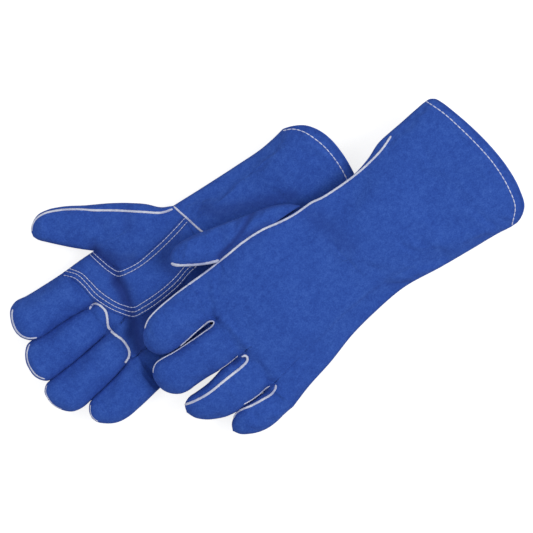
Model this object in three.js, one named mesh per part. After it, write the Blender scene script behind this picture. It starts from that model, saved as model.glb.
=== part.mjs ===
// A pair of long split-leather gauntlets for cold work, lying as they are put down on a bench.
// The right glove lies on its back with the palm up. The left glove lies palm down across it.
// X runs along the gloves towards the cuffs, Y across them towards the thumbs, Z up from the bench.

import * as THREE from 'three';
import { mergeVertices } from 'three/addons/utils/BufferGeometryUtils.js';

// Leather, lining and seams, in millimetres
const LEATHER = 1.3;
const LINING = 2.5;
const LAYER_GAP = 1;
const GAP = 0.3;
const WELT = 0.9;
const WELT_PROUD = 1.5;
const WELT_HELD = 1.0;
const WELT_BETWEEN_FINGERS = 0.35;
const PLAIN_SEAM_GAP = 0.4;

// Palm patch and cuff hem
const PATCH = 1.2;
const PATCH_GAP = 0.8;
const HEM_WIDTH = 7;
const HEM = 1.2;

// Hand and cuff of the pattern that both gloves are cut from
const PALM_LENGTH = 131;
const CUFF_LENGTH = 158;
const WRIST_WIDTH = 110;
const RIM_WIDTH = 135;
const THUMB_CROTCH_SHARE = 0.27;
const LOBE_FADE = 0.2;

// Fingers: visible length from the crotch, full width, half of the thickness
const FINGERS = {
  little: { length: 58, width: 29, half: 12.5 },
  ring: { length: 78, width: 34.5, half: 14.5 },
  middle: { length: 76, width: 36, half: 15 },
  index: { length: 64, width: 38.5, half: 15 },
};
const FINGER_ROOT_SHARE = 0.93;
const FINGER_FULL_SHARE = 0.7;

// Thumb: its base along the side of the hand is set by the hand
const THUMB_TIP_WIDTH = 26;
const THUMB_HALF = 12;
const THUMB_BULGE = 12;
const THUMB_WRIST_SHARE = 0.98;

// How high the side seams run above what the glove lies on
const SEAM_HEIGHT = 15;

// How the left glove lies on the right one: a slope up from the bench to the top of the right glove
const REST_SLOPE = 0.28;
const REST_FOOT_Y = -108;
const REST_FOOT_SOFTNESS = 10;
const REST_TOP = 37;
const REST_TOP_SOFTNESS = 2;
const STACK_GAP = 0.5;

// Beyond the right glove's cuff the left cuff keeps rising to its mouth, and its slope flattens
const MOUTH_RISE = 22;
const MOUTH_RISE_X = [45, 85];
const MOUTH_FLATTEN = 0.3;
const MOUTH_FLATTEN_X = [115, 230];

// The right glove's fingertips lie clear of the left glove and may rise above it
const TIP_ROOM = 25;
const TIP_ROOM_X = [-148, -136];

// Thickness of a half glove at places along the hand (0 at the finger roots, 1 at the wrist, 2 at the rim)
const PROFILE = [
  { at: 0, palm: 15, back: 15.5, seam: 0 },
  { at: 0.27, palm: 14.5, back: 17, seam: 0 },
  { at: 0.6, palm: 18, back: 18, seam: 0 },
  { at: 1, palm: 17, back: 16.5, seam: 0 },
  { at: 1.5, palm: 18, back: 18.5, seam: 2 },
  { at: 2, palm: 21, back: 22, seam: 6 },
];

// The two gloves as they lie. Palms and cuffs that are cupped look shorter from above.
const LAY = {
  right: {
    palmUp: true,
    cupped: 0.88,
    cuffShare: 0.945,
    indexRootX: -151,
    rootSteps: { index: 0, middle: 4, ring: 4, little: 8 },
    indexEdge: 81.5,
    tipEdge: 84.5,
    rootGap: { index: 1.2, middle: 1.2, ring: 1.2 },
    tipGap: { index: 1.1, middle: 1.1, ring: 1.1 },
    curl: { index: 11, middle: 14, ring: 13, little: 8 },
    wristEdge: 74.5,
    wristSlant: 0.18,
    rimBulge: 25,
    rimEdge: 74,
    rimNarrow: 13,
    cuff: [{ at: 1.35, high: 72, narrow: -1 }, { at: 1.8, high: 71.5, narrow: 0 }],
    thumb: { tip: [-138.4, 121], turn: 145, lift: 4, fold: 1 },
    sideWeltEnd: 1.1,
  },
  left: {
    palmUp: false,
    cupped: 1,
    cuffShare: 1,
    indexRootX: -64,
    rootSteps: { index: 0, middle: 2, ring: 10, little: 14 },
    indexEdge: 9,
    tipEdge: 9.5,
    rootGap: { index: 4, middle: 8, ring: 4 },
    tipGap: { index: 1.4, middle: 5, ring: 2.5 },
    curl: { index: 0, middle: 0, ring: 0, little: 0 },
    wristEdge: 6.5,
    wristSlant: 0.03,
    rimBulge: 18,
    rimEdge: 22,
    rimNarrow: 0,
    cuff: [{ at: 1.2, high: 4.3, narrow: 3 }, { at: 1.45, high: 8, narrow: -3 },
      { at: 1.6, high: 15.5, narrow: -10 }],
    thumb: { tip: [-52, 29], turn: 158, lift: -2.5, fold: 0.85 },
    sideWeltEnd: 1.64,
  },
};

const FINGER_ORDER = ['little', 'ring', 'middle', 'index'];
const COLUMN_ANGLES = [-90, -54, -18, 18, 54, 90].map(THREE.MathUtils.degToRad);
const STACK = PATCH + PATCH_GAP;
const WELT_SLOT = WELT + 2 * GAP;
const SEAM_HALF = WELT_SLOT / 2;
const LINING_OUT = LEATHER + LAYER_GAP;
const LINING_IN = LINING_OUT + LINING;
const LINING_SEAM = 0.4;

const { lerp, smoothstep, clamp, degToRad } = THREE.MathUtils;

const colours = {
  leather: new THREE.MeshStandardMaterial({ color: 0x3251a2, roughness: 0.92, metalness: 0 }),
  welt: new THREE.MeshStandardMaterial({ color: 0xc3c8dc, roughness: 0.85, metalness: 0 }),
  lining: new THREE.MeshStandardMaterial({ color: 0xe4dfd2, roughness: 1, metalness: 0 }),
};

// Closed body between two grids of points, with walls along the open edges of the grids
function layerGeometry(outer, inner, closedRound = false) {
  const rows = outer.length;
  const columns = outer[0].length;
  const positions = [...outer.flat(), ...inner.flat()].flatMap((p) => [p.x, p.y, p.z]);
  const outerAt = (i, j) => i * columns + (j % columns);
  const innerAt = (i, j) => rows * columns + outerAt(i, j);
  const faces = [];
  const quad = (a, b, c, d) => faces.push([a, b, c], [a, c, d]);
  const steps = closedRound ? columns : columns - 1;
  for (let i = 0; i < rows - 1; i++) {
    for (let j = 0; j < steps; j++) {
      quad(outerAt(i, j), outerAt(i + 1, j), outerAt(i + 1, j + 1), outerAt(i, j + 1));
      quad(innerAt(i, j), innerAt(i, j + 1), innerAt(i + 1, j + 1), innerAt(i + 1, j));
    }
  }
  for (let j = 0; j < steps; j++) {
    quad(outerAt(0, j), outerAt(0, j + 1), innerAt(0, j + 1), innerAt(0, j));
    quad(outerAt(rows - 1, j), innerAt(rows - 1, j), innerAt(rows - 1, j + 1), outerAt(rows - 1, j + 1));
  }
  if (!closedRound) {
    for (let i = 0; i < rows - 1; i++) {
      quad(outerAt(i, 0), innerAt(i, 0), innerAt(i + 1, 0), outerAt(i + 1, 0));
      quad(outerAt(i, steps), outerAt(i + 1, steps), innerAt(i + 1, steps), innerAt(i, steps));
    }
  }
  return closedGeometry(positions, faces);
}

// Strip of square section: each ring holds the four corners of the section at one place
function stripGeometry(rings) {
  const positions = rings.flat().flatMap((p) => [p.x, p.y, p.z]);
  const corners = rings[0].length;
  const at = (i, j) => i * corners + (j % corners);
  const faces = [];
  const last = rings.length - 1;
  for (let i = 0; i < last; i++) {
    for (let j = 0; j < corners; j++) {
      faces.push([at(i, j), at(i + 1, j), at(i + 1, j + 1)], [at(i, j), at(i + 1, j + 1), at(i, j + 1)]);
    }
  }
  for (let j = 1; j < corners - 1; j++) {
    faces.push([at(0, 0), at(0, j), at(0, j + 1)], [at(last, 0), at(last, j + 1), at(last, j)]);
  }
  return closedGeometry(positions, faces);
}

// Merges equal points, drops faces with no area and turns the faces outwards
function closedGeometry(positions, faces) {
  let geometry = new THREE.BufferGeometry();
  geometry.setAttribute('position', new THREE.Float32BufferAttribute(positions, 3));
  geometry.setIndex(faces.flat());
  geometry = mergeVertices(geometry, 1e-3);
  const index = geometry.getIndex().array;
  const place = geometry.getAttribute('position');
  const corner = [new THREE.Vector3(), new THREE.Vector3(), new THREE.Vector3()];
  const kept = [];
  let volume = 0;
  for (let i = 0; i < index.length; i += 3) {
    const [a, b, c] = index.slice(i, i + 3);
    if (a !== b && b !== c && c !== a) {
      kept.push([a, b, c]);
      [a, b, c].forEach((v, k) => corner[k].fromBufferAttribute(place, v));
      volume += corner[0].dot(corner[1].clone().cross(corner[2]));
    }
  }
  geometry.setIndex((volume > 0 ? kept : kept.map(([a, b, c]) => [a, c, b])).flat());
  geometry.computeVertexNormals();
  return geometry;
}

// Value of a measure between the two places that hold it
function along(list, at, key) {
  const next = Math.max(1, list.findIndex((s) => s.at >= at));
  const a = list[next - 1];
  const b = list[next];
  return lerp(a[key], b[key], clamp((at - a.at) / (b.at - a.at), 0, 1));
}

// Height of the slope that the left glove lies on: the bench on one side, the right glove on the other
function restHeight(x, y) {
  const flatten = 1 - MOUTH_FLATTEN * smoothstep(x, ...MOUTH_FLATTEN_X);
  const slope = REST_SLOPE * flatten * (y - REST_FOOT_Y);
  const rise = (slope + Math.hypot(slope, REST_FOOT_SOFTNESS)) / 2 - REST_FOOT_SOFTNESS / 4;
  const top = REST_TOP + MOUTH_RISE * smoothstep(x, ...MOUTH_RISE_X);
  const level = (rise + top - Math.hypot(rise - top, REST_TOP_SOFTNESS)) / 2;
  return Math.max(0, level);
}

// Height above that slope that the right glove keeps free for itself
function rightGloveRoom(x) {
  return TIP_ROOM * (1 - smoothstep(x, ...TIP_ROOM_X));
}

// Everything about one glove that its pieces share
function makePattern(side) {
  const lay = LAY[side];
  const fingers = {};
  let rootEdge = lay.indexEdge;
  let tipEdge = lay.tipEdge;
  for (const name of [...FINGER_ORDER].reverse()) {
    const { length, width, half } = FINGERS[name];
    const rootWidth = width * FINGER_ROOT_SHARE;
    const rootY = rootEdge - rootWidth / 2;
    const tipY = tipEdge - width / 2;
    const turn = Math.atan((rootY - tipY) / (length * FINGER_FULL_SHARE));
    const rootX = lay.indexRootX + lay.rootSteps[name];
    fingers[name] = { name, length, width, half, rootWidth, turn, curl: lay.curl[name], x: rootX, y: rootY };
    rootEdge -= rootWidth + (lay.rootGap[name] ?? 0);
    tipEdge -= width + (lay.tipGap[name] ?? 0);
  }
  const outline = [
    { at: 0, high: lay.indexEdge, low: rootEdge },
    { at: 1, high: lay.wristEdge, low: lay.wristEdge - WRIST_WIDTH },
    ...lay.cuff.map((c) => ({ at: c.at, high: c.high, low: c.high - WRIST_WIDTH + c.narrow })),
    { at: 2, high: lay.rimEdge, low: lay.rimEdge - RIM_WIDTH + lay.rimNarrow },
  ];
  const wristX = lay.indexRootX + PALM_LENGTH * lay.cupped;
  const rimX = wristX + CUFF_LENGTH * lay.cuffShare - lay.rimBulge;
  const cuffRows = [...lay.cuff.map((c) => c.at), 2];
  const sign = { palm: lay.palmUp ? 1 : -1, back: lay.palmUp ? -1 : 1 };
  return { side, lay, fingers, outline, cuffRows, wristX, rimX, sign };
}

// Keeps a height inside the room that the glove has between the bench, its pair and its own layers
function settle(pattern, x, y, height, inset) {
  const rest = restHeight(x, y);
  if (pattern.lay.palmUp) {
    return clamp(height, inset, rest + rightGloveRoom(x) - STACK_GAP / 2 - Math.max(inset, 0));
  }
  return rest + STACK_GAP / 2 + Math.max(height, STACK + inset);
}

// Height of the side seams, lower where the right glove is pressed down
function seamHeight(pattern, x, y, extra) {
  const height = SEAM_HEIGHT + extra;
  if (!pattern.lay.palmUp) {
    return height;
  }
  return Math.min(height, restHeight(x, y) + rightGloveRoom(x) - STACK_GAP - LINING_IN - LAYER_GAP);
}

// How far the side of the hand stands open for the thumb, from 0 at its ends to 1 in the middle
function thumbOpening(at) {
  const share = (at - THUMB_CROTCH_SHARE) / (THUMB_WRIST_SHARE - THUMB_CROTCH_SHARE);
  return share > 0 && share < 1 ? Math.sqrt(1 - (2 * share - 1) ** 2) : 0;
}

// Point of the hand or cuff: at is 0 at the finger roots, 1 at the wrist and 2 at the rim,
// across is -1 at the little finger's side and 1 at the index side, inset is the depth in the wall
function handPoint(pattern, face, at, across, inset, seam = SEAM_HALF, shiftX = 0) {
  const { lay, outline, wristX, rimX, sign } = pattern;
  const high = along(outline, at, 'high');
  const low = along(outline, at, 'low');
  const half = (high - low) / 2;
  const middle = (high + low) / 2;
  const y = middle + across * (half - inset);
  const rootHalf = (outline[0].high - outline[0].low) / 2;
  const rootY = outline[0].high - rootHalf + across * (rootHalf - inset);
  const rootFinger = nearestFinger(pattern, rootY);
  const rootX = rootFinger.x + (rootY - rootFinger.y) * Math.tan(-rootFinger.turn) + GAP;
  const wristLine = wristX + lay.wristSlant * (high - y) * smoothstep(at, 0, 1);
  const rimLine = rimX + lay.rimBulge * (1 - across * across);
  const x = at < 1 ? lerp(rootX, wristLine, at) : lerp(wristLine, rimLine, at - 1);
  const fullness = Math.sqrt(Math.max(0, 1 - across * across));
  const open = across > 0 ? thumbOpening(at) : 0;
  const sideSeam = across > 0 ? seam : lerp(seam, Math.min(seam, PLAIN_SEAM_GAP / 2), -across);
  const edge = lerp(sideSeam, Math.max(THUMB_HALF * lay.thumb.fold - inset, sideSeam), open);
  const depth = along(PROFILE, at, face) - inset;
  const hand = Math.sqrt(edge ** 2 + (depth ** 2 - edge ** 2) * fullness ** 2);
  const lobe = lobeHeight(pattern, rootY, inset, sideSeam);
  const blend = 1 - smoothstep(at, 0, LOBE_FADE);
  const rise = Math.sqrt(lerp(hand ** 2, lobe ** 2, blend));
  const level = seamHeight(pattern, x, y, along(PROFILE, at, 'seam'));
  return new THREE.Vector3(x + shiftX, y, settle(pattern, x, y, level + sign[face] * rise, inset));
}

function nearestFinger(pattern, y) {
  const list = Object.values(pattern.fingers);
  return list.reduce((best, f) => {
    const reach = Math.abs(y - f.y) - f.rootWidth / 2;
    return reach < Math.abs(y - best.y) - best.rootWidth / 2 ? f : best;
  });
}

// Half thickness at the finger roots, where the hand has a swell for each finger
function lobeHeight(pattern, y, inset, seam) {
  const finger = nearestFinger(pattern, y);
  const share = (y - finger.y) / (finger.rootWidth / 2 - inset);
  return seam + (finger.half - inset - seam) * Math.sqrt(Math.max(0, 1 - share ** 2));
}

// Where the columns of the hand's leather cross it, from the little finger's side to the index side
function columnAcross(pattern, column, at, inset) {
  const { outline, fingers } = pattern;
  const finger = fingers[FINGER_ORDER[Math.floor(column / COLUMN_ANGLES.length)]];
  const angle = COLUMN_ANGLES[column % COLUMN_ANGLES.length];
  const rootHalf = (outline[0].high - outline[0].low) / 2;
  const rootMiddle = (outline[0].high + outline[0].low) / 2;
  const rootY = finger.y + (finger.rootWidth / 2 - inset) * Math.sin(angle);
  const rootAcross = clamp((rootY - rootMiddle) / (rootHalf - inset), -1, 1);
  const last = FINGER_ORDER.length * COLUMN_ANGLES.length - 1;
  const evenAcross = Math.sin((column / last - 0.5) * Math.PI);
  return lerp(rootAcross, evenAcross, smoothstep(at, 0, 0.7));
}

// Rows along the hand: they bunch where the thumb's opening starts and ends
const THUMB_ROWS = [0, 0.067, 0.25, 0.5, 0.75, 0.933, 1]
  .map((share) => lerp(THUMB_CROTCH_SHARE, THUMB_WRIST_SHARE, share));
const HAND_ROWS = [0, 0.08, 0.17, ...THUMB_ROWS, 1];
const COLUMN_COUNT = FINGER_ORDER.length * COLUMN_ANGLES.length;

function handGrid(pattern, face, rows, inset, shift) {
  return rows.map((at) => Array.from({ length: COLUMN_COUNT }, (_, column) => {
    const across = columnAcross(pattern, column, at, inset);
    return handPoint(pattern, face, at, across, inset, SEAM_HALF, shift(at, column));
  }));
}

// How far round the tip of a stall its last rows of leather run; the last one closes it
const CAP_ANGLES = [31.5, 60, 90].map(degToRad);
const TIP_CLOSED = CAP_ANGLES[CAP_ANGLES.length - 1];

// One stall of the glove, a finger or the thumb: rows of half sections from its root to its tip
function makeStall(pattern, rows, dir, cap) {
  const { sign } = pattern;
  const last = rows[rows.length - 1];
  const section = (row, tip, inset) => {
    const round = tip === TIP_CLOSED ? 0 : Math.cos(tip);
    const forward = (cap - inset) * Math.sin(tip);
    return {
      x: row.x + dir.x * forward,
      y: row.y + dir.y * forward,
      side: row.side,
      half: (row.half - inset) * round,
      depth: row.depth - inset,
      round,
      level: row.level,
    };
  };
  const sections = (inset) => [
    ...rows.map((row) => section(row, 0, inset)),
    ...CAP_ANGLES.map((tip) => section(last, tip, inset)),
  ];
  const pointOf = (face, s, angle, inset, seam) => {
    const x = s.x + s.side.x * s.half * Math.sin(angle);
    const y = s.y + s.side.y * s.half * Math.sin(angle);
    const full = Math.max(0, Math.cos(angle)) * s.round;
    const rise = seam + Math.max(0, s.depth - seam) * full;
    return new THREE.Vector3(x, y, settle(pattern, x, y, s.level + sign[face] * rise, inset));
  };
  return { sections, pointOf };
}

function stallPanel(stall, face) {
  const grid = (inset) => stall.sections(inset)
    .map((s) => COLUMN_ANGLES.map((angle) => stall.pointOf(face, s, angle, inset, SEAM_HALF)));
  return layerGeometry(grid(0), grid(LEATHER));
}

// Fleece sleeve inside a stall, open at the root
function stallLining(stall) {
  const angles = [-90, -45, 0, 45].map(degToRad);
  const ring = (s, inset) => [
    ...angles.map((a) => stall.pointOf('back', s, a, inset, 0)),
    ...angles.map((a) => stall.pointOf('palm', s, -a, inset, 0)),
  ];
  const grid = (inset) => stall.sections(inset).map((s) => ring(s, inset));
  return layerGeometry(grid(LINING_OUT), grid(LINING_IN), true);
}

// Welt strip held between the two leathers of a stall, all round its edge
function stallWelt(stall) {
  const held = stall.sections(WELT_HELD);
  const slim = stall.sections(-WELT_BETWEEN_FINGERS);
  const proud = stall.sections(-WELT_PROUD).map((s, i) => (s.round < 1 ? s : slim[i]));
  const edgeOf = (s, angle) => {
    const reach = s.half * Math.sin(angle);
    return { x: s.x + s.side.x * reach, y: s.y + s.side.y * reach };
  };
  const ring = (i, angle) => {
    const a = edgeOf(held[i], angle);
    const b = edgeOf(proud[i], angle);
    const middle = stall.pointOf('back', { ...held[i], depth: 0, round: 0 }, angle, 0, 0).z;
    return [
      new THREE.Vector3(a.x, a.y, middle - WELT / 2),
      new THREE.Vector3(b.x, b.y, middle - WELT / 2),
      new THREE.Vector3(b.x, b.y, middle + WELT / 2),
      new THREE.Vector3(a.x, a.y, middle + WELT / 2),
    ];
  };
  const rows = held.map((_, i) => i);
  const near = rows.map((i) => ring(i, Math.PI / 2));
  const far = rows.slice(0, -1).reverse().map((i) => ring(i, -Math.PI / 2));
  return stripGeometry([...near, ...far]);
}

function fingerStall(pattern, finger) {
  const dir = new THREE.Vector2(-Math.cos(finger.turn), -Math.sin(finger.turn));
  const across = new THREE.Vector2(-Math.sin(finger.turn), Math.cos(finger.turn));
  const cap = finger.width / 2;
  const straight = finger.length - cap;
  const rows = [0, 0.25, 0.6, 1].map((share) => {
    const reach = straight * share;
    const full = smoothstep(reach, 0, finger.length * FINGER_FULL_SHARE);
    return {
      x: finger.x + dir.x * reach,
      y: finger.y + dir.y * reach,
      side: across,
      half: lerp(finger.rootWidth, finger.width, full) / 2,
      depth: finger.half,
      level: SEAM_HEIGHT + finger.curl * (reach / finger.length) ** 2,
    };
  });
  return makeStall(pattern, rows, dir, cap);
}

function thumbStall(pattern) {
  const { thumb } = pattern.lay;
  const angle = degToRad(thumb.turn);
  const dir = new THREE.Vector2(Math.cos(angle), Math.sin(angle));
  const away = new THREE.Vector2(dir.y, -dir.x);
  const cap = THUMB_TIP_WIDTH / 2;
  const tip = new THREE.Vector2(...thumb.tip);
  const start = thumbLine(pattern);
  const crotchEnd = tip.clone().addScaledVector(away, -cap);
  const wristEnd = tip.clone().addScaledVector(away, cap);
  const outward = wristEnd.clone().sub(start.wrist).normalize();
  const halfway = start.wrist.clone().lerp(wristEnd, 0.5);
  const bulge = halfway.addScaledVector(new THREE.Vector2(outward.y, -outward.x), THUMB_BULGE);
  const wristSide = new THREE.QuadraticBezierCurve(start.wrist, bulge, wristEnd);
  const crotchSide = new THREE.LineCurve(start.crotch, crotchEnd);
  const rows = [0, 0.25, 0.5, 0.75, 1].map((share) => {
    const a = crotchSide.getPoint(share);
    const b = wristSide.getPoint(share);
    return {
      x: (a.x + b.x) / 2,
      y: (a.y + b.y) / 2,
      side: b.clone().sub(a).normalize(),
      half: a.distanceTo(b) / 2,
      depth: THUMB_HALF * thumb.fold,
      level: SEAM_HEIGHT + thumb.lift * share,
    };
  });
  return makeStall(pattern, rows, dir, cap);
}

// Line on the side of the hand that the thumb grows from
function thumbLine(pattern) {
  const clearance = WELT_PROUD + 2 * GAP;
  const place = (at) => {
    const p = handPoint(pattern, 'back', at, 1, 0);
    return new THREE.Vector2(p.x, p.y + clearance);
  };
  return { crotch: place(THUMB_CROTCH_SHARE), wrist: place(THUMB_WRIST_SHARE) };
}

// Adds a mesh to a group, with its geometry moved into the group's own frame
function addPiece(group, name, geometry, material) {
  group.updateWorldMatrix(true, false);
  geometry.applyMatrix4(group.matrixWorld.clone().invert());
  const mesh = new THREE.Mesh(geometry, material);
  mesh.name = name;
  group.add(mesh);
}

// The stall's group sits on the crease that it bends about, at the top of its root
function addStall(pattern, hand, name, stall, place, turn) {
  const group = new THREE.Group();
  const topFace = pattern.lay.palmUp ? 'palm' : 'back';
  const root = stall.sections(0)[0];
  const crown = stall.pointOf(topFace, root, 0, 0, SEAM_HALF).z;
  group.position.set(place.x, place.y, crown);
  group.rotation.z = turn;
  hand.add(group);
  addPiece(group, `${pattern.side}_${name}_back`, stallPanel(stall, 'back'), colours.leather);
  addPiece(group, `${pattern.side}_${name}_palm`, stallPanel(stall, 'palm'), colours.leather);
  addPiece(group, `${pattern.side}_${name}_welt`, stallWelt(stall), colours.welt);
  addPiece(group, `${pattern.side}_${name}_lining`, stallLining(stall), colours.lining);
}

function addHandLeather(pattern, hand) {
  const flush = () => 0;
  const gunnColumns = [COLUMN_ANGLES.length, COLUMN_COUNT - COLUMN_ANGLES.length - 1];
  const overGunn = (column) => column >= gunnColumns[0] && column <= gunnColumns[1];
  const gunn = (at, column) => (at === 0 && overGunn(column) ? WELT_SLOT - GAP : 0);
  const beforeWrist = (at, column) => gunn(at, column) - (at === 1 ? WELT_SLOT / 2 : 0);
  const afterWrist = (at) => (at === 1 ? WELT_SLOT / 2 : 0);
  const panel = (face, rows, shift) => layerGeometry(
    handGrid(pattern, face, rows, 0, shift), handGrid(pattern, face, rows, LEATHER, shift));
  const back = panel('back', [...HAND_ROWS, ...pattern.cuffRows], flush);
  addPiece(hand, `${pattern.side}_back_panel`, back, colours.leather);
  addPiece(hand, `${pattern.side}_palm_panel`, panel('palm', HAND_ROWS, beforeWrist), colours.leather);
  const cuffPalm = panel('palm', [1, ...pattern.cuffRows], afterWrist);
  addPiece(hand, `${pattern.side}_cuff_palm`, cuffPalm, colours.leather);
}

const PATCH_STEPS = 12;

// Reinforcement on the palm: from the index side down and along the middle of the palm to the wrist
function addPalmPatch(pattern, hand) {
  const edge = (...points) => new THREE.SplineCurve(points.map((p) => new THREE.Vector2(...p)));
  const fingerSide = edge([0.06, 0.86], [0.1, 0.65], [0.17, 0.27], [0.32, 0], [0.76, 0], [0.96, 0.03]);
  const thumbSide = edge([0.22, 0.86], [0.3, 0.62], [0.38, 0.53], [0.5, 0.49], [0.76, 0.56], [0.96, 0.7]);
  const grid = (inset) => Array.from({ length: PATCH_STEPS + 1 }, (_, i) => {
    const a = fingerSide.getPoint(i / PATCH_STEPS);
    const b = thumbSide.getPoint(i / PATCH_STEPS);
    return [0, 0.25, 0.5, 0.75, 1].map((share) => {
      const spot = a.clone().lerp(b, share);
      return handPoint(pattern, 'palm', spot.x, spot.y, inset);
    });
  });
  const geometry = layerGeometry(grid(-STACK), grid(-PATCH_GAP));
  addPiece(hand, `${pattern.side}_palm_patch`, geometry, colours.leather);
}

// Columns of the leather that the linings and the hem share with it
const LINING_COLUMNS = [0, 2, 4, 7, 10, 12, 14, 17, 20, 22, 23];

// Points of one layer across a face of the glove, from the little finger's side to the index side
function layerRow(pattern, face, at, inset, seam) {
  return LINING_COLUMNS.map((column) => {
    return handPoint(pattern, face, at, columnAcross(pattern, column, at, inset), inset, seam);
  });
}

// Fleece inside the hand: one sheet folded round the little finger's side, open towards the thumb
function addHandLining(pattern, hand) {
  const rows = [...HAND_ROWS.slice(2, -1), 0.99];
  const grid = (inset) => rows.map((at) => [
    ...layerRow(pattern, 'back', at, inset, LINING_SEAM).reverse(),
    ...layerRow(pattern, 'palm', at, inset, LINING_SEAM),
  ]);
  const geometry = layerGeometry(grid(LINING_OUT), grid(LINING_IN));
  addPiece(hand, `${pattern.side}_hand_lining`, geometry, colours.lining);
}

// Rings inside the cuff: the canvas lining and the turned hem at the mouth
function addCuffLayers(pattern, hand) {
  const ring = (at, inset) => [
    ...layerRow(pattern, 'back', at, inset, 0).reverse(),
    ...layerRow(pattern, 'palm', at, inset, 0).slice(1, -1),
  ];
  const fromRim = (distance) => 2 - distance / (CUFF_LENGTH * pattern.lay.cuffShare);
  const liningEnd = fromRim(HEM_WIDTH + 3 * GAP);
  const liningRows = [1, ...pattern.cuffRows.filter((at) => at < liningEnd), liningEnd];
  const lining = (inset) => liningRows.map((at) => ring(at, inset));
  const hem = (inset) => [fromRim(HEM_WIDTH), fromRim(GAP)].map((at) => ring(at, inset));
  const liningSleeve = layerGeometry(lining(LINING_OUT), lining(LINING_IN), true);
  const hemBand = layerGeometry(hem(LINING_OUT), hem(LINING_OUT + HEM), true);
  addPiece(hand, `${pattern.side}_cuff_lining`, liningSleeve, colours.lining);
  addPiece(hand, `${pattern.side}_cuff_hem`, hemBand, colours.leather);
}

// Welts of the hand: along the index side, across the wrist and over the two middle finger bases
function addHandWelts(pattern, hand) {
  const { lay, sign, side } = pattern;
  const sideRows = [...HAND_ROWS, ...pattern.cuffRows.filter((at) => at < lay.sideWeltEnd), lay.sideWeltEnd];
  const sideRings = sideRows.map((at) => {
    const seat = handPoint(pattern, 'back', at, 1, 0);
    const middle = seat.z - sign.back * (SEAM_HALF + LEATHER * thumbOpening(at));
    return [[-WELT_HELD, -1], [WELT_PROUD, -1], [WELT_PROUD, 1], [-WELT_HELD, 1]]
      .map(([out, up]) => new THREE.Vector3(seat.x, seat.y + out, middle + up * WELT / 2));
  });
  addPiece(hand, `${side}_side_welt`, stripGeometry(sideRings), colours.welt);

  const wristRings = [-0.94, -0.75, -0.5, -0.25, 0, 0.25, 0.5, 0.75, 0.94].map((across) => [
    handPoint(pattern, 'palm', 1, across, WELT_HELD, SEAM_HALF, -WELT / 2),
    handPoint(pattern, 'palm', 1, across, WELT_HELD, SEAM_HALF, WELT / 2),
    handPoint(pattern, 'palm', 1, across, -WELT_PROUD, SEAM_HALF, WELT / 2),
    handPoint(pattern, 'palm', 1, across, -WELT_PROUD, SEAM_HALF, -WELT / 2),
  ]);
  addPiece(hand, `${side}_wrist_welt`, stripGeometry(wristRings), colours.welt);

  const baseRings = ['ring', 'middle'].flatMap((name) => [-66, -33, 0, 33, 66].map((degrees) => {
    const finger = pattern.fingers[name];
    const corner = (inset, back) => {
      const v = (finger.rootWidth / 2 - inset) * Math.sin(degToRad(degrees));
      const rise = SEAM_HALF + (finger.half - inset - SEAM_HALF) * Math.cos(degToRad(degrees));
      const x = finger.x - v * Math.sin(finger.turn) + back;
      const y = finger.y + v * Math.cos(finger.turn);
      return new THREE.Vector3(x, y, settle(pattern, x, y, SEAM_HEIGHT + sign.palm * rise, inset));
    };
    return [
      corner(WELT_HELD, GAP),
      corner(WELT_HELD, GAP + WELT),
      corner(-WELT_PROUD, GAP + WELT),
      corner(-WELT_PROUD, GAP),
    ];
  }));
  addPiece(hand, `${side}_finger_base_welt`, stripGeometry(baseRings), colours.welt);
}

function makeGlove(side) {
  const pattern = makePattern(side);
  const hand = new THREE.Group();
  addHandLeather(pattern, hand);
  addPalmPatch(pattern, hand);
  addHandLining(pattern, hand);
  addCuffLayers(pattern, hand);
  addHandWelts(pattern, hand);
  for (const name of FINGER_ORDER) {
    const finger = pattern.fingers[name];
    addStall(pattern, hand, name, fingerStall(pattern, finger), finger, finger.turn);
  }
  const base = thumbLine(pattern);
  const middle = base.crotch.clone().lerp(base.wrist, 0.5);
  const baseTurn = Math.atan2(base.wrist.y - base.crotch.y, base.wrist.x - base.crotch.x);
  addStall(pattern, hand, 'thumb', thumbStall(pattern), middle, baseTurn);
  return hand;
}

const gloves = new THREE.Group();
gloves.add(makeGlove('right'));
gloves.add(makeGlove('left'));

export default gloves;
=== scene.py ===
import math
import bpy
import bmesh
import numpy as np
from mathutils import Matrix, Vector, noise
from mathutils.bvhtree import BVHTree
from mathutils.kdtree import KDTree


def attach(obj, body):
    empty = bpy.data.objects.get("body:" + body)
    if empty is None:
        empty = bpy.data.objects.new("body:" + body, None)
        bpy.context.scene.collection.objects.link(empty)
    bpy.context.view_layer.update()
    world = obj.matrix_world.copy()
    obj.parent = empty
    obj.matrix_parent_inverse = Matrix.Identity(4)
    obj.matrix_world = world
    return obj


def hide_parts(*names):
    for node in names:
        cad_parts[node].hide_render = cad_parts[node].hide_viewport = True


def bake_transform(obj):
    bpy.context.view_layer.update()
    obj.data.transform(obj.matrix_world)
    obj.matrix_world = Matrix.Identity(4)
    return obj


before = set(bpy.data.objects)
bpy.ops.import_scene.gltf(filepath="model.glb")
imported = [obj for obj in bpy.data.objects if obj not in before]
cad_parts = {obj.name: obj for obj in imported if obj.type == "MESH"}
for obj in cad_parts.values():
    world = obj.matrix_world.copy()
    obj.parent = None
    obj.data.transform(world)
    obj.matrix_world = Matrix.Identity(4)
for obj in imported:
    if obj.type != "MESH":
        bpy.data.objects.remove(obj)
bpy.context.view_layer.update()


# Blue leather of the hands, cuffs and fingers: split cowhide, napped on both sides, 1.3 mm thick.
# A back and a palm are cut for each glove and sewn together along their edges, turned, and filled out
# by the lining. Lengths are in millimetres, apart from SEWN_WITHIN, which is for meshes, in metres.
LEATHER = 1.3
SEWN_WITHIN = 2e-5
SEAM_HEIGHT = 15
SEAM_HALF = 0.15
BETWEEN_GLOVES = 0.6
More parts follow.
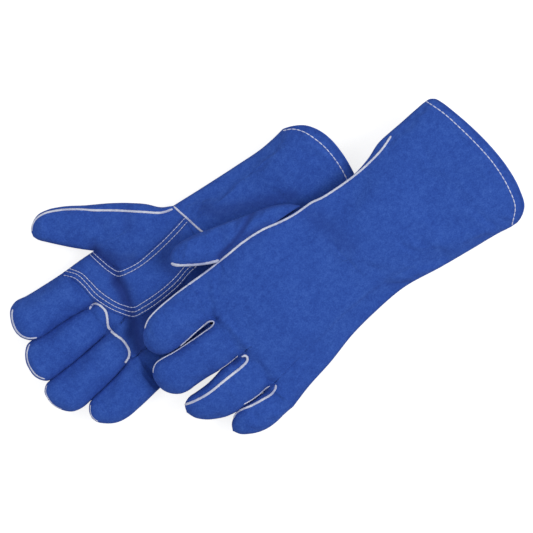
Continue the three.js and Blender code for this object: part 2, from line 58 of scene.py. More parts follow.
# The right glove as the left one lies on it: a slope up from the bench, which gets flatter along the cuff,
# the top of the hand, and the higher top of the cuff
SIDE_SLOPE = 0.28
SIDE_SLOPE_EASED_BY = 0.3
SIDE_SLOPE_EASED_X = (115, 230)
SLOPE_FOOT_Y = -108
SLOPE_START_SOFTNESS = 10
SLOPE_START_DEPTH = 2.5
HAND_TOP = 37
CUFF_TOP_HIGHER_BY = 22
CUFF_TOP_X = (45, 85)
# How softly, in mm, the slope runs into the top, and the leathers into what they rest on or lie under
TOP_SOFTNESS = 2
FLOOR_SOFTNESS = {"right": 1, "left": 2}
ROOF_SOFTNESS = 1.5
# The right fingers lie free of the left glove, so they have this much more room above them
FREE_ROOM = 25
FREE_FINGERS_X = (-148, -136)
SEAM_UNDER_ROOF = 6.7
# Rows and columns of the point grids. A finger's rows are crowded at its tip, by a power above one.
FINGER_COLUMNS = 27
WEB_COLUMNS = 3
FINGER_ROWS = 64
FINGER_ROWS_CROWDED = 1.5
THUMB_ROWS = 72
THUMB_ROWS_CROWDED = 1.4
THUMB_SIDE_ROWS = 19
THUMB_BASE_ROWS = 31
CUFF_ROWS = 84
WRIST_ROW = THUMB_SIDE_ROWS + THUMB_BASE_ROWS - 2
FINGERS = ("little", "ring", "middle", "index")
STALLS = (*FINGERS, "thumb")
FINGER_HALF = {"little": 12.5, "ring": 14.5, "middle": 15, "index": 15}
THUMB_BODY_WIDTH = 26
# A tip gets thinner as it narrows, by this power, and closes where it is narrower than this
TIP_FULLNESS = 0.9
TIP_CLOSES_WITHIN = 3
# Form of a stuffed section: the share of its height at each share of its width
DOME_SQUARENESS = 2.25
DOME_ROUNDNESS = 0.52

# Outlines as the gloves lie: x runs from the fingertips to the cuff, y from the little finger to the thumb.
# A finger's two sewn edges are given with the thumb's side first, and the thumb's with the wrist's first.
# "touch" is how far neighbouring fingers press together, "web" the share of the hand over which their
# roundness runs out, and "curl" how much higher their tips lie.
CUT = {
    "right": {
        "top": "palm", "bottom": "back", "touch": 1.05, "web": 0.13,
        "curl": {"index": 9.9, "middle": 12.6, "ring": 11.7, "little": 7.2},
        "fingers": {
            "index": (
                [(-151, 81.2), (-170, 81.8), (-190, 83), (-200, 84.3), (-207, 81.5), (-212, 74.5),
                 (-215, 65), (-215.2, 60)],
                [(-151, 43.6), (-165, 44.7), (-180, 45.3), (-195, 45.2), (-203, 46), (-209, 49),
                 (-213.5, 54.5), (-215.2, 60)]),
            "middle": (
                [(-147, 41.8), (-165, 43.6), (-180, 44.4), (-195, 44.4), (-207, 46.5), (-213, 45.8),
                 (-218.5, 41.5), (-222.5, 35), (-224, 27)],
                [(-147, 15.6), (-170, 12.6), (-185, 11.2), (-200, 10.2), (-210, 9.6), (-217, 10.8),
                 (-221.5, 15), (-223.7, 20), (-224, 27)]),
            "ring": (
                [(-147, 13.8), (-170, 11.2), (-185, 9.8), (-200, 8.8), (-212, 8.4), (-220, 7.4),
                 (-224.2, 3.5), (-225.6, -4)],
                [(-147, -16.2), (-165, -20.6), (-180, -23.4), (-195, -25.5), (-205, -26.4), (-214, -24.2),
                 (-221, -18), (-224.8, -10), (-225.6, -4)]),
            "little": (
                [(-145, -17), (-165, -22.4), (-180, -25), (-191, -26.6), (-198, -29), (-202, -34),
                 (-203.2, -40)],
                [(-143, -53.3), (-150, -54.5), (-165, -56.6), (-176, -57.6), (-187, -56), (-196, -50.8),
                 (-201.5, -45), (-203.2, -40)]),
        },
        "thumb_side": [(-151, 81.2), (-117, 81.6)],
        "thumb_base": [(-117, 81.6), (-98, 80.2), (-70, 77.5), (-36, 74.2)],
        "cuff_side": [(-36, 74.2), (0, 72.5), (30, 71.5), (60, 71.2), (75, 73), (83, 74.5)],
        "little_side": [(-143, -53.3), (-110, -49), (-36, -36), (30, -38), (70, -42), (84, -47)],
        "rim": [(84, -47), (99, -30), (108, -12), (112, 6), (113.5, 28), (112, 43), (107.5, 56),
                (100, 66), (92, 71), (83, 74.5)],
        "thumb": (
            [(-36, 74.2), (-45, 79), (-55, 89.5), (-65, 97.5), (-80, 107.8), (-100, 119.3), (-118, 130.3),
             (-130, 135.2), (-139, 136.4), (-147.5, 133), (-152.5, 128), (-154, 122.5)],
            [(-117, 81.6), (-124, 88), (-130, 93.8), (-140, 104.3), (-147, 112), (-152, 118),
             (-154, 122.5)]),
        "thumb_half": 12, "thumb_lift": 4,
    },
    "left": {
        "top": "back", "bottom": "palm", "touch": 0.0, "web": 0.09,
        "curl": {"index": 0, "middle": 0, "ring": 0, "little": 0},
        "fingers": {
            "index": (
                [(-64, 9.2), (-80, 8.6), (-100, 7), (-110, 4.6), (-118, -0.5), (-123.5, -6), (-127, -13)],
                [(-66.6, -29.4), (-75, -29.2), (-85, -30.2), (-92, -31.2), (-99, -32), (-108, -32.2),
                 (-116, -30.8), (-122, -27), (-126, -20), (-127, -13)]),
            "middle": (
                [(-66, -33), (-80, -33.6), (-98, -33.4), (-110, -32.9), (-120, -31.6), (-128, -31.8),
                 (-133.5, -35), (-137, -41), (-138, -48)],
                [(-62, -69), (-77, -69.8), (-86, -69.7), (-97, -68.8), (-110, -68.6), (-119, -68.8),
                 (-126, -67), (-133, -61.5), (-136.8, -55), (-138, -48)]),
            "ring": (
                [(-60.8, -69.4), (-66, -69), (-77, -69.4), (-84, -69.9), (-91, -71.6), (-100, -73.3),
                 (-112, -73.8), (-122, -74), (-128, -77), (-131, -84)],
                [(-57, -107.2), (-63, -108), (-75, -108.7), (-95, -108.9), (-105, -106.9), (-112, -104),
                 (-120, -99.4), (-127.5, -92), (-131, -84)]),
            "little": (
                [(-56, -108), (-62, -108.3), (-75, -108.5), (-90, -108.7), (-98, -111), (-103.6, -115),
                 (-106.8, -121)],
                [(-50, -134), (-60, -135), (-70, -136.6), (-80, -136.8), (-88, -135.2), (-96, -131.8),
                 (-103, -127), (-106.8, -121)]),
        },
        "thumb_side": [(-64, 9.2), (-46, 9.8), (-30, 10)],
        "thumb_base": [(-30, 10), (-5, 12.4), (20, 11.4), (40, 8), (57, 7)],
        "cuff_side": [(57, 7), (70, 6), (90, 4.6), (110, 4.8), (130, 9.4), (145, 15.4), (160, 17.6),
                      (170, 18.6), (190, 21), (200, 21.9), (205, 21.6), (208.6, 19.4)],
        "little_side": [(-50, -134), (-30, -127.6), (0, -120.4), (30, -111.4), (60, -106), (90, -103),
                        (130, -107), (160, -109.4), (190, -111.6), (200, -113), (206.6, -113.2)],
        "rim": [(206.6, -113.2), (211, -111.4), (219, -105), (224, -90), (226, -65), (225, -50),
                (220, -20), (215, 0), (211, 13.5), (208.6, 19.4)],
        "thumb": (
            [(57, 9.6), (50, 16), (40, 21.8), (30, 25.6), (15, 29.2), (0, 33), (-20, 38), (-38, 42.2),
             (-50, 43.2), (-59, 41.4), (-65, 36.6), (-67, 32)],
            [(-28, 9.4), (-35, 10.8), (-45, 16.4), (-58, 24.4), (-64, 28.4), (-67, 32)]),
        "thumb_half": 10.2, "thumb_lift": -2.5,
    },
}
# Where neighbouring fingers part, how far the leather between them is pulled up there, over how wide a
# spot, and how far the slit's end bows into the hand
WEBS = {side: [(np.array(cut["fingers"][low][0][0]) + cut["fingers"][high][1][0]) / 2
               for low, high in zip(FINGERS, FINGERS[1:])] for side, cut in CUT.items()}
WEB_LIFT = {"right": 9, "left": 12.5}
WEB_REACH = 6.5
WEB_SAG = 1.6
# The valleys between the fingers widen by this share of their way into the hand, and are filled at so many
# times the way over which the fingers' roundness runs out
VALLEY_WIDENING = 0.4
VALLEY_FILLED_AT = 1.8
# Shares of the hand's half width over which its side opens into the thumb, and swells towards it
THUMB_OPENS = (0.93, 1)
THUMB_SWELLS = (0.4, 1)
# The hand's columns are spread as at the finger roots at first, and evenly from this share on
COLUMNS_EVEN_FROM = 0.45
# Shares of a finger's length over which the touch grows from a little less at the root, and then ends
TOUCH_ROOT_LESS = 0.2
TOUCH_FULL_FROM = (0, 0.05)
TOUCH_ENDS = (0.72, 0.9)
# Fingers beside the open slit: the finger on its other side, and the side that faces it
OPEN_SLIT = {("left", "index"): ("middle", -1), ("left", "middle"): ("index", 1)}
# Their lower leathers bulge towards each other under the slit, by this much at most, and stay this far from
# its middle. The bulge starts at the root, ends along the finger, and lies low on the finger's side.
SLIT_BULGE_MOST = 2.4
SLIT_HALF_KEPT = 0.12
SLIT_BULGE_STARTS = (0, 0.035)
SLIT_BULGE_ENDS = (0.4, 0.55)
SLIT_BULGE_ACROSS = (0.4, 0.9)
SLIT_SEAM_ACROSS = (0.97, 1)
SLIT_FULL_ROOM = 0.5
# Thickness of each half of a glove along the hand, and how far its seams rise there. At 0 are the finger
# roots, at 1 the wrist and at 2 the rim.
FULLNESS = {
    "at": [0, 0.27, 0.6, 1, 1.5, 2],
    "palm": [15, 14.5, 18, 17, 18, 21],
    "back": [15.5, 17, 18, 16.5, 18.5, 22],
    "seam": [0, 0, 0, 0, 2, 6],
}


def lengths(points):
    """Distance along a line of points, from 0 at its first point."""
    return np.r_[0, np.cumsum(np.linalg.norm(np.diff(points, axis=0), axis=1))]


def directions(vectors):
    """The vectors, each brought to a length of one."""
    return vectors / (np.linalg.norm(vectors, axis=1)[:, None] + 1e-9)


def ease(value, start, end):
    share = np.clip((value - start) / (end - start), 0, 1)
    return share * share * (3 - 2 * share)


def trace(points, count):
    """Evenly spaced points on a smooth line through the given ones."""
    p = np.asarray(points, float)
    knot = lengths(p)
    slope = np.gradient(p, knot, axis=0)
    t = np.linspace(0, 1, 24)[:, None]
    pieces = []
    for i in range(len(p) - 1):
        reach = knot[i + 1] - knot[i]
        pieces.append((2 * t**3 - 3 * t**2 + 1) * p[i] + (t**3 - 2 * t**2 + t) * reach * slope[i]
                      + (3 * t**2 - 2 * t**3) * p[i + 1] + (t**3 - t**2) * reach * slope[i + 1])
    dense = np.vstack(pieces)
    run = lengths(dense)
    where = count if np.ndim(count) else np.linspace(0, 1, count)
    return np.stack([np.interp(where * run[-1], run, dense[:, k]) for k in range(p.shape[1])], axis=1)


def rest_height(x, y):
    """What the left glove lies on: the bench, and the right glove's slope and top."""
    slope = SIDE_SLOPE * (1 - SIDE_SLOPE_EASED_BY * ease(x, *SIDE_SLOPE_EASED_X)) * (y - SLOPE_FOOT_Y)
    rise = (slope + np.hypot(slope, SLOPE_START_SOFTNESS)) / 2 - SLOPE_START_DEPTH
    top = HAND_TOP + CUFF_TOP_HIGHER_BY * ease(x, *CUFF_TOP_X)
    return np.maximum(0, (rise + top - np.hypot(rise - top, TOP_SOFTNESS)) / 2)


def roof_height(x, y):
    """What bounds the right glove from above: the left glove, and free room over its fingers."""
    return rest_height(x, y) + FREE_ROOM * (1 - ease(x, *FREE_FINGERS_X))


def settle(side, x, y, height):
    """Keeps a height inside the room that a glove has between the bench and its pair."""
    low = (height + np.hypot(height, FLOOR_SOFTNESS[side])) / 2
    if side == "left":
        return rest_height(x, y) + BETWEEN_GLOVES / 2 + low
    roof = roof_height(x, y) - BETWEEN_GLOVES / 2
    return (low + roof - np.hypot(low - roof, ROOF_SOFTNESS)) / 2


def seam_level(side, x, y, extra):
    height = SEAM_HEIGHT + extra
    if side == "left":
        return height
    return np.minimum(height, roof_height(x, y) - SEAM_UNDER_ROOF)


def dome(across):
    """Height of a stuffed section, from 1 in the middle to 0 at its seams."""
    return np.maximum(0, 1 - np.abs(across) ** DOME_SQUARENESS) ** DOME_ROUNDNESS


SEEDS_APART = 7.3
NOISE_GAIN = 1.6


def waves(x, y, size, seed):
    """Soft uneven swell of the leather, from about -1 to 1."""
    flat = np.stack([x.ravel() / size, y.ravel() / size, np.full(x.size, seed * SEEDS_APART)], axis=1)
    return np.array([noise.noise(Vector(p)) for p in flat]).reshape(x.shape) * NOISE_GAIN


def finger_columns():
    return np.sin(np.linspace(-math.pi / 2, math.pi / 2, FINGER_COLUMNS))


def finger_edges(side, name, along):
    """The two sewn edges of a finger, pushed out to where the fingers of the lower glove press together."""
    cut = CUT[side]
    index_edge, little_edge = (trace(edge, along) for edge in cut["fingers"][name])
    at_root = 1 - TOUCH_ROOT_LESS * (1 - ease(along, *TOUCH_FULL_FROM))
    touch = (cut["touch"] * at_root * (1 - ease(along, *TOUCH_ENDS)))[:, None]
    apart = directions(index_edge - little_edge)
    return index_edge + apart * touch * (name != "index"), little_edge - apart * touch * (name != "little")


def slit_swell(side, name, along, across, half_width):
    """Sideways shift, in mm, of the lower leather of the two fingers that bulge under the open slit."""
    neighbour, facing = OPEN_SLIT[side, name]
    own = finger_edges(side, name, along)[(1 - facing) // 2]
    other = finger_edges(side, neighbour, np.linspace(0, 1, 200))[(1 + facing) // 2]
    gap = np.linalg.norm(own[:, None] - other[None], axis=2).min(axis=1)
    room = np.clip(gap / 2 - SLIT_HALF_KEPT, 0, SLIT_BULGE_MOST) * (1 - ease(along, *SLIT_BULGE_ENDS))
    share = np.clip(facing * across, 0, 1)
    pushed = ease(share, *SLIT_BULGE_ACROSS) * (1 - ease(share, *SLIT_SEAM_ACROSS))
    pushed = pushed * (np.minimum(1, room / SLIT_FULL_ROOM) * ease(along, *SLIT_BULGE_STARTS))[:, None]
    return facing * pushed * ((1 - share) * half_width[:, None] + room[:, None])


def finger_grid(side, name, lower):
    """Plan and height of one face of a finger stall, from its root row to its closed tip."""
    cut = CUT[side]
    along = 1 - (1 - np.linspace(0, 1, FINGER_ROWS)) ** FINGER_ROWS_CROWDED
    index_edge, little_edge = finger_edges(side, name, along)
    across = finger_columns()[None, :, None]
    plan = (index_edge + little_edge)[:, None] / 2 + across * (index_edge - little_edge)[:, None] / 2
    width = np.linalg.norm(index_edge - little_edge, axis=1)
    if lower and (side, name) in OPEN_SLIT:
        shift = slit_swell(side, name, along, across[..., 0], width / 2)
        plan = plan + shift[..., None] * directions(index_edge - little_edge)[:, None]
    body = np.median(width[: FINGER_ROWS // 2])
    half = FINGER_HALF[name] * np.minimum(1, width / body) ** TIP_FULLNESS
    half[0] = FINGER_HALF[name]
    level = seam_level(side, plan[..., 0], plan[..., 1], 0) + cut["curl"][name] * along[:, None] ** 2
    closing = np.minimum(1, width / TIP_CLOSES_WITHIN)[:, None]
    rise = SEAM_HALF * closing + (half[:, None] - SEAM_HALF * closing) * dome(across[..., 0])
    return plan, level, rise


def thumb_grid(side, shares):
    """Plan and height of one face of the thumb, from its wide root on the hand's side to its tip."""
    cut = CUT[side]
    along = 1 - (1 - np.linspace(0, 1, THUMB_ROWS)) ** THUMB_ROWS_CROWDED
    wrist_edge, crotch_edge = (trace(edge, along) for edge in cut["thumb"])
    across = shares[None, :, None]
    plan = (wrist_edge + crotch_edge)[:, None] / 2 + across * (wrist_edge - crotch_edge)[:, None] / 2
    width = np.linalg.norm(wrist_edge - crotch_edge, axis=1)
    half = cut["thumb_half"] * np.minimum(1, width / THUMB_BODY_WIDTH) ** TIP_FULLNESS
    level = seam_level(side, plan[..., 0], plan[..., 1], 0) + cut["thumb_lift"] * along[:, None]
    closing = np.minimum(1, width / TIP_CLOSES_WITHIN)[:, None]
    rise = SEAM_HALF * closing + (half[:, None] - SEAM_HALF * closing) * dome(across[..., 0])
    return plan, level, rise


def hand_grid(side, face):
    """Plan, level and rise of one face of the hand and cuff, from the finger roots to the rim."""
    cut = CUT[side]
    columns = finger_columns()
    root, lobes = [], []
    for k, name in enumerate(FINGERS):
        index_edge, little_edge = (edge[0] for edge in finger_edges(side, name, np.array([0.0, 1.0])))
        if k:
            last = root[-1]
            for share in np.linspace(0, 1, WEB_COLUMNS + 2)[1:-1]:
                web = last + (little_edge - last) * share
                root.append(web + np.array([WEB_SAG * math.sin(share * math.pi), 0]))
                lobes.append(0.0)
        for t in columns:
            root.append((index_edge + little_edge) / 2 + t * (index_edge - little_edge) / 2)
            lobes.append((FINGER_HALF[name] - SEAM_HALF) * dome(np.array(t)))
    root, lobes = np.array(root), np.array(lobes)
    thumb_rows = 1 - np.cos(np.linspace(0, math.pi, THUMB_BASE_ROWS))
    base = trace(cut["thumb_base"], thumb_rows / 2)
    if side == "right":
        wrist_end, crotch_end = (np.array(edge[0]) for edge in cut["thumb"])
        base = crotch_end + (wrist_end - crotch_end) * thumb_rows[:, None] / 2
    thumb_side = trace(cut["thumb_side"], THUMB_SIDE_ROWS)
    index_edge = np.vstack([thumb_side, base[1:], trace(cut["cuff_side"], CUFF_ROWS)[1:]])
    rows = len(index_edge)
    run = lengths(index_edge)
    down = run / run[-1]
    little_edge = trace(cut["little_side"], down)
    even = (1 + np.sin(np.linspace(-math.pi / 2, math.pi / 2, len(root)))) / 2
    rim = trace(cut["rim"], even)
    apart = lengths(root)
    mix = ease(down, 0, COLUMNS_EVEN_FROM)[:, None]
    w = (1 - mix) * (apart / apart[-1]) + mix * even
    u = down[:, None]
    W, U = w[..., None], np.broadcast_to(u, w.shape)[..., None]
    plan = ((1 - W) * little_edge[:, None] + W * index_edge[:, None] + (1 - U) * root[None] + U * rim[None]
            - (1 - U) * ((1 - W) * root[0] + W * root[-1]) - U * ((1 - W) * rim[0] + W * rim[-1]))
    hand_rows = WRIST_ROW + 1
    at = np.r_[np.linspace(0, 1, hand_rows), 1 + np.linspace(0, 1, rows - hand_rows + 1)[1:]]
    at[:hand_rows] = down[:hand_rows] / down[hand_rows - 1]
    across = 2 * w - 1
    depth = np.interp(at, FULLNESS["at"], FULLNESS[face])[:, None]
    opening, soft = np.zeros(rows), np.zeros(rows)
    thumb_base = slice(THUMB_SIDE_ROWS - 1, hand_rows)
    opening[thumb_base] = dome(thumb_rows - 1)
    soft[thumb_base] = (1 - (thumb_rows - 1) ** 2) ** 1.5
    opened = soft[:, None] + (opening - soft)[:, None] * ease(across, *THUMB_OPENS)
    swelling = ease(across, *THUMB_SWELLS) ** 1.5
    seam_edge = SEAM_HALF + swelling * opened * (cut["thumb_half"] - SEAM_HALF)
    body = np.sqrt(seam_edge**2 + (depth**2 - seam_edge**2) * dome(across) ** 2)
    # The valleys between the fingers widen and fill as they run into the hand
    beyond = np.interp(np.arange(rows), np.arange(hand_rows), down[:hand_rows] * run[-1])
    share = np.gradient(apart)
    spread_lobes = np.tile(lobes, (rows, 1))
    for r in range(1, hand_rows):
        reach = VALLEY_WIDENING * beyond[r]
        soft_edge = np.exp(-((apart[:, None] - apart) ** 2) / (2 * reach**2)) * share
        spread_lobes[r] = np.minimum(soft_edge @ lobes / soft_edge.sum(1), body[r])
    fade = 1 - ease(at, 0, cut["web"])[:, None]
    filled = ease(at, 0, VALLEY_FILLED_AT * cut["web"])[:, None]
    lobed = np.sqrt((SEAM_HALF + spread_lobes) ** 2 * (1 - filled) + body**2 * filled)
    rise = (1 - fade) * body + fade * lobed
    rise[:, [0, -1]] = body[:, [0, -1]]
    extra = np.interp(at, FULLNESS["at"], FULLNESS["seam"])[:, None]
    level = seam_level(side, plan[..., 0], plan[..., 1], extra)
    return plan, level, rise, thumb_rows - 1


def face_mesh(name, grids, up):
    """One mesh from several point grids in mm, its faces tagged by grid and turned outwards."""
    verts, faces, tags = [], [], []
    for tag, grid in enumerate(grids):
        rows, columns, _ = grid.shape
        start = len(verts)
        verts.extend((grid.reshape(-1, 3) / 1000).tolist())
        a, b = grid[1:, :-1] - grid[:-1, :-1], grid[:-1, 1:] - grid[:-1, :-1]
        turned = (a[..., 0] * b[..., 1] - a[..., 1] * b[..., 0]).sum() * up > 0
        for i in range(rows - 1):
            for j in range(columns - 1):
                k = start + i * columns + j
                quad = (k, k + 1, k + columns + 1, k + columns)
                faces.append(quad[::-1] if turned else quad)
                tags.append(tag)
    mesh = bpy.data.meshes.new(name)
    mesh.from_pydata(verts, [], faces)
    mesh.polygons.foreach_set("material_index", tags)
    return cleaned(mesh, SEWN_WITHIN, outwards=False)


def cleaned(mesh, within=0.0, outwards=True):
    """The mesh with points this near each other joined, in metres, and its faces turned outwards."""
    bm = bmesh.new()
    bm.from_mesh(mesh)
    if within:
        bmesh.ops.remove_doubles(bm, verts=bm.verts, dist=within)
    if outwards:
        bmesh.ops.recalc_face_normals(bm, faces=bm.faces)
    bm.to_mesh(mesh)
    bm.free()
    return mesh


def placed(name, data):
    """An object for a mesh, lamp or camera, in the scene."""
    item = bpy.data.objects.new(name, data)
    bpy.context.scene.collection.objects.link(item)
    return item


def made_plain(piece):
    """The mesh that the piece's modifiers lead to. The piece itself goes."""
    result = bpy.data.meshes.new_from_object(piece.evaluated_get(bpy.context.evaluated_depsgraph_get()))
    bpy.data.objects.remove(piece)
    return result


def thickened(mesh, thickness):
    """The sheet as a closed leather of some thickness in mm, which goes inwards."""
    piece = placed(mesh.name, mesh)
    solid = piece.modifiers.new("thickness", "SOLIDIFY")
    solid.thickness = thickness / 1000
    solid.offset = -1
    return made_plain(piece)


def smoothed(mesh):
    mesh.polygons.foreach_set("use_smooth", [True] * len(mesh.polygons))
    return mesh


def points_of(mesh):
    """Places of the mesh's points, in metres."""
    flat = np.empty(len(mesh.vertices) * 3)
    mesh.vertices.foreach_get("co", flat)
    return flat.reshape(-1, 3)


def shade_creases(mesh, shade):
    """Stores how much painted shade each point gets, for the leather's material: a darker colour that
    stands in for shade in seams, folds and shadows.
    """
    mesh.attributes.new("crease", "FLOAT", "POINT").data.foreach_set("value", shade)


def cut_apart(whole, names):
    """Cuts a finished leather along its tags. The cut edges keep the whole leather's shading."""
    place = points_of(whole)
    normal, crease = np.empty(place.size), np.empty(len(place))
    whole.vertex_normals.foreach_get("vector", normal)
    normal = normal.reshape(-1, 3)
    whole.attributes["crease"].data.foreach_get("value", crease)
    pieces = {}
    for tag, name in enumerate(names):
        loops = [tuple(polygon.vertices) for polygon in whole.polygons if polygon.material_index == tag]
        used = sorted({v for loop in loops for v in loop})
        fresh = {v: k for k, v in enumerate(used)}
        mesh = bpy.data.meshes.new(name)
        mesh.from_pydata(place[used].tolist(), [], [tuple(fresh[v] for v in loop) for loop in loops])
        smoothed(mesh).normals_split_custom_set_from_vertices(normal[used].tolist())
        shade_creases(mesh, crease[used])
        pieces[name] = placed(name, mesh)
    return pieces


# Folds pressed into each upper leather: a line through the fold, its half width and its depth. Each fold is
# also darkened with painted shade.
FOLDS = {
    "right": [
        ([(-115, 47), (-116, 38), (-118.4, 28), (-120.6, 18), (-124, 8), (-129, -4), (-133, -14)],
         5.6, 4.4),
        ([(-116.6, 81), (-115, 74), (-112.6, 64), (-112, 54), (-115, 47)], 5.4, 3.6),
        ([(-110, 70), (-103, 62), (-94, 57)], 6, 1.6),
        # Painted shadow, with a dent: along the left index finger's edge, where the left glove shades the
        # right palm
        ([(-132, 2), (-118, 4), (-100, 8), (-70, 10)], 6, 2.2),
        ([(-150, 42.6), (-144, 43.4), (-139.5, 38), (-138.6, 31), (-142, 24), (-145.4, 17), (-144.4, 10),
          (-141.2, 2), (-140.6, -5), (-142.4, -11), (-147, -15), (-151, -16.4)], 2.4, 1.3),
        ([(-100, 116), (-97, 106), (-96, 97)], 3.5, 0.5),
        ([(-72, 96), (-76, 88), (-82, 80)], 5, 0.8),
        # Painted shadow, with a dent: along the left thumb's side on the right cuff and round the left
        # thumb's tip on the right palm, where the left glove shades the right
        ([(-14, 56), (-7, 47), (5, 41.5), (20, 35.5), (38, 28), (56, 20)], 6.5, 1.5),
        ([(-48, 50), (-60, 46), (-68, 40), (-71.6, 33), (-69, 24), (-58, 13)], 4.5, 1.2),
    ],
    "left": [
        ([(2, 28.6), (25, 25.4), (45, 19.6), (56, 11)], 2.4, 1.0),
        ([(18.5, 28.6), (11, 25), (1, 20), (-10, 16.4), (-20, 14.6), (-28, 12.4)], 2.5, 2.3),
        ([(3, 31), (-1, 26), (-5, 20)], 2.2, 0.9),
        ([(-26, 13), (-12, 14.6), (2, 14.6), (14, 13.4), (24, 12)], 3, 1.6),
        ([(-12, 36), (-14, 29), (-18, 22)], 3, 0.5),
        ([(82, -92), (90, -97), (98, -102)], 3, 0.9),
        ([(-60.6, -72.4), (-65, -71.4), (-71, -72)], 2.2, 1.5),
        ([(60, -4), (66, -22), (70, -44)], 9, 0.8),
    ],
}


# A fold darkens the colour with painted shade, by its depth's share of this one, and no more than the
# darkest
DARKEST_FOLD = 0.78
DARK_FOLD_DEPTH = 3.5


def pressed(side, x, y):
    """How far the folds press the leather down at each point, and how much painted shade they put on it."""
    down, dark = np.zeros(x.shape), np.zeros(x.shape)
    for line, half_width, depth in FOLDS[side]:
        far = np.full(x.shape, 1e9)
        for px, py in trace(line, 60):
            far = np.minimum(far, (x - px) ** 2 + (y - py) ** 2)
        down += depth * np.exp(-far / half_width**2)
        darkest = min(DARKEST_FOLD, depth / DARK_FOLD_DEPTH)
        dark = np.maximum(dark, darkest * np.exp(-far / (1.15 * half_width) ** 2))
    return down, dark


# Height and size in mm and seed of each swell of the loose leather, which is loose this far above its seams
SWELLS = ((0.9, 46, 1), (0.35, 19, 2), (0.12, 8, 3))
LOOSE_FROM = 8
# How softly the raised webs run into the stalls, and how far above the seams that softness is full
WEB_SOFTNESS = 2
WEB_SOFT_FROM = 6


def leather_height(side, face, plan, level, rise):
    """Height of a leather face with the folds and swells that the hide has there."""
    x, y = plan[..., 0], plan[..., 1]
    far = np.min([(x - web[0]) ** 2 + (y - web[1]) ** 2 for web in WEBS[side]], axis=0)
    pulled = WEB_LIFT[side] * np.exp(-far / WEB_REACH**2)
    height = level + pulled - rise
    if face == CUT[side]["top"]:
        pulled = pulled + np.minimum(rise, SEAM_HALF)
        softness = WEB_SOFTNESS * np.minimum(1, rise / WEB_SOFT_FROM)
        height = level + (rise + pulled + np.hypot(rise - pulled, softness)) / 2
        loose = np.minimum(1, rise / LOOSE_FROM)
        swell = sum(tall * waves(x, y, size, seed) for tall, size, seed in SWELLS)
        height = height + loose * swell - pressed(side, x, y)[0]
    return settle(side, x, y, height)


def leather_grids(side, face):
    """Hand, cuff, finger and thumb leathers of one face, as point grids whose shared edges meet."""
    plan, level, rise, thumb_shares = hand_grid(side, face)
    hand = np.dstack([plan, leather_height(side, face, plan, level, rise)])
    grids = [hand[:WRIST_ROW + 1], hand[WRIST_ROW:]] if face == "palm" else [hand]
    for name in FINGERS:
        plan, level, rise = finger_grid(side, name, CUT[side]["bottom"] == face)
        grids.append(np.dstack([plan, leather_height(side, face, plan, level, rise)]))
    plan, level, rise = thumb_grid(side, thumb_shares)
    grids.append(np.dstack([plan, leather_height(side, face, plan, level, rise)]))
    return grids


def follow(piece):
    """A finger's piece, with its placement baked into its mesh."""
    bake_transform(piece)


def seat_of(*meshes):
    """A surface to lay seams and patches on."""
    corners, faces = [], []
    for mesh in meshes:
        start = len(corners)
        corners += [v.co.copy() for v in mesh.vertices]
        faces += [tuple(start + v for v in p.vertices) for p in mesh.polygons]
    return BVHTree.FromPolygons(corners, faces)


def seam_points(mesh):
    """Vertices on the outer edge of a leather, where it is sewn."""
    uses = {}
    for polygon in mesh.polygons:
        for edge in polygon.edge_keys:
            uses[edge] = uses.get(edge, 0) + 1
    return sorted({v for edge, count in uses.items() if count == 1 for v in edge})


def seam_distance(place, edge):
    """How far each point is from the nearest sewn edge."""
    near = KDTree(len(edge))
    for k, v in enumerate(edge):
        near.insert(place[v], k)
    near.balance()
    return np.array([near.find(p)[2] for p in place])


def worked(side, mesh):
    """The upper leather after the lining has pushed it out between its sewn edges, by cloth simulation."""
    before = points_of(mesh)
    piece = placed("leather_at_work", mesh)
    edge = seam_points(mesh)
    sewn = piece.vertex_groups.new(name="sewn")
    sewn.add(edge, 1, "REPLACE")
    cloth = piece.modifiers.new("hide", "CLOTH")
    hide = cloth.settings
    hide.quality = HIDE["quality"]
    hide.mass = HIDE["mass"]
    hide.tension_stiffness = hide.compression_stiffness = HIDE["stretch"]
    hide.shear_stiffness = HIDE["shear"]
    hide.bending_stiffness = HIDE["bend"]
    hide.shrink_min = -HIDE["spare"]
    hide.vertex_group_mass = "sewn"
    hide.effector_weights.gravity = 0
    hide.use_pressure = True
    hide.uniform_pressure_force = HIDE["push"]
    cloth.collision_settings.use_collision = False
    cloth.collision_settings.use_self_collision = False
    cloth.point_cache.frame_start = 1
    cloth.point_cache.frame_end = HIDE["frames"]
    for step in range(1, HIDE["frames"] + 1):
        bpy.context.scene.frame_set(step)
    after = points_of(piece.evaluated_get(bpy.context.evaluated_depsgraph_get()).data)
    bpy.data.objects.remove(piece)
    bpy.context.scene.frame_set(1)
    move = after - before
    far = np.linalg.norm(move, axis=1)[:, None] + 1e-12
    move *= HIDE["cap"] / 1000 * np.tanh(far / (HIDE["cap"] / 1000)) / far
    calm = HIDE["free"] + (1 - HIDE["free"]) * ease(seam_distance(before * 1000, edge), 1, HIDE["seam"])
    place = (before + move * calm[:, None]) * 1000
    x, y, height = place.T
    if side == "left":
        place[:, 2] = np.maximum(height, rest_height(x, y) + BETWEEN_GLOVES / 2 + LEATHER)
    else:
        place[:, 2] = np.minimum(height, roof_height(x, y) - BETWEEN_GLOVES / 2)
    mesh.vertices.foreach_set("co", (place / 1000).ravel())
    mesh.update()


# How the hide behaves while it is worked: its stiffnesses, the lining's push and the share of spare
# leather. A point moves by "cap" mm at most. Within "seam" mm of a sewn edge that falls to "free" of it.
HIDE = {
    "quality": 5, "mass": 0.25, "stretch": 18, "shear": 8, "bend": 1.2, "push": 0.6, "spare": 0.02,
    "frames": 14, "cap": 1.8, "seam": 11, "free": 0.15,
}
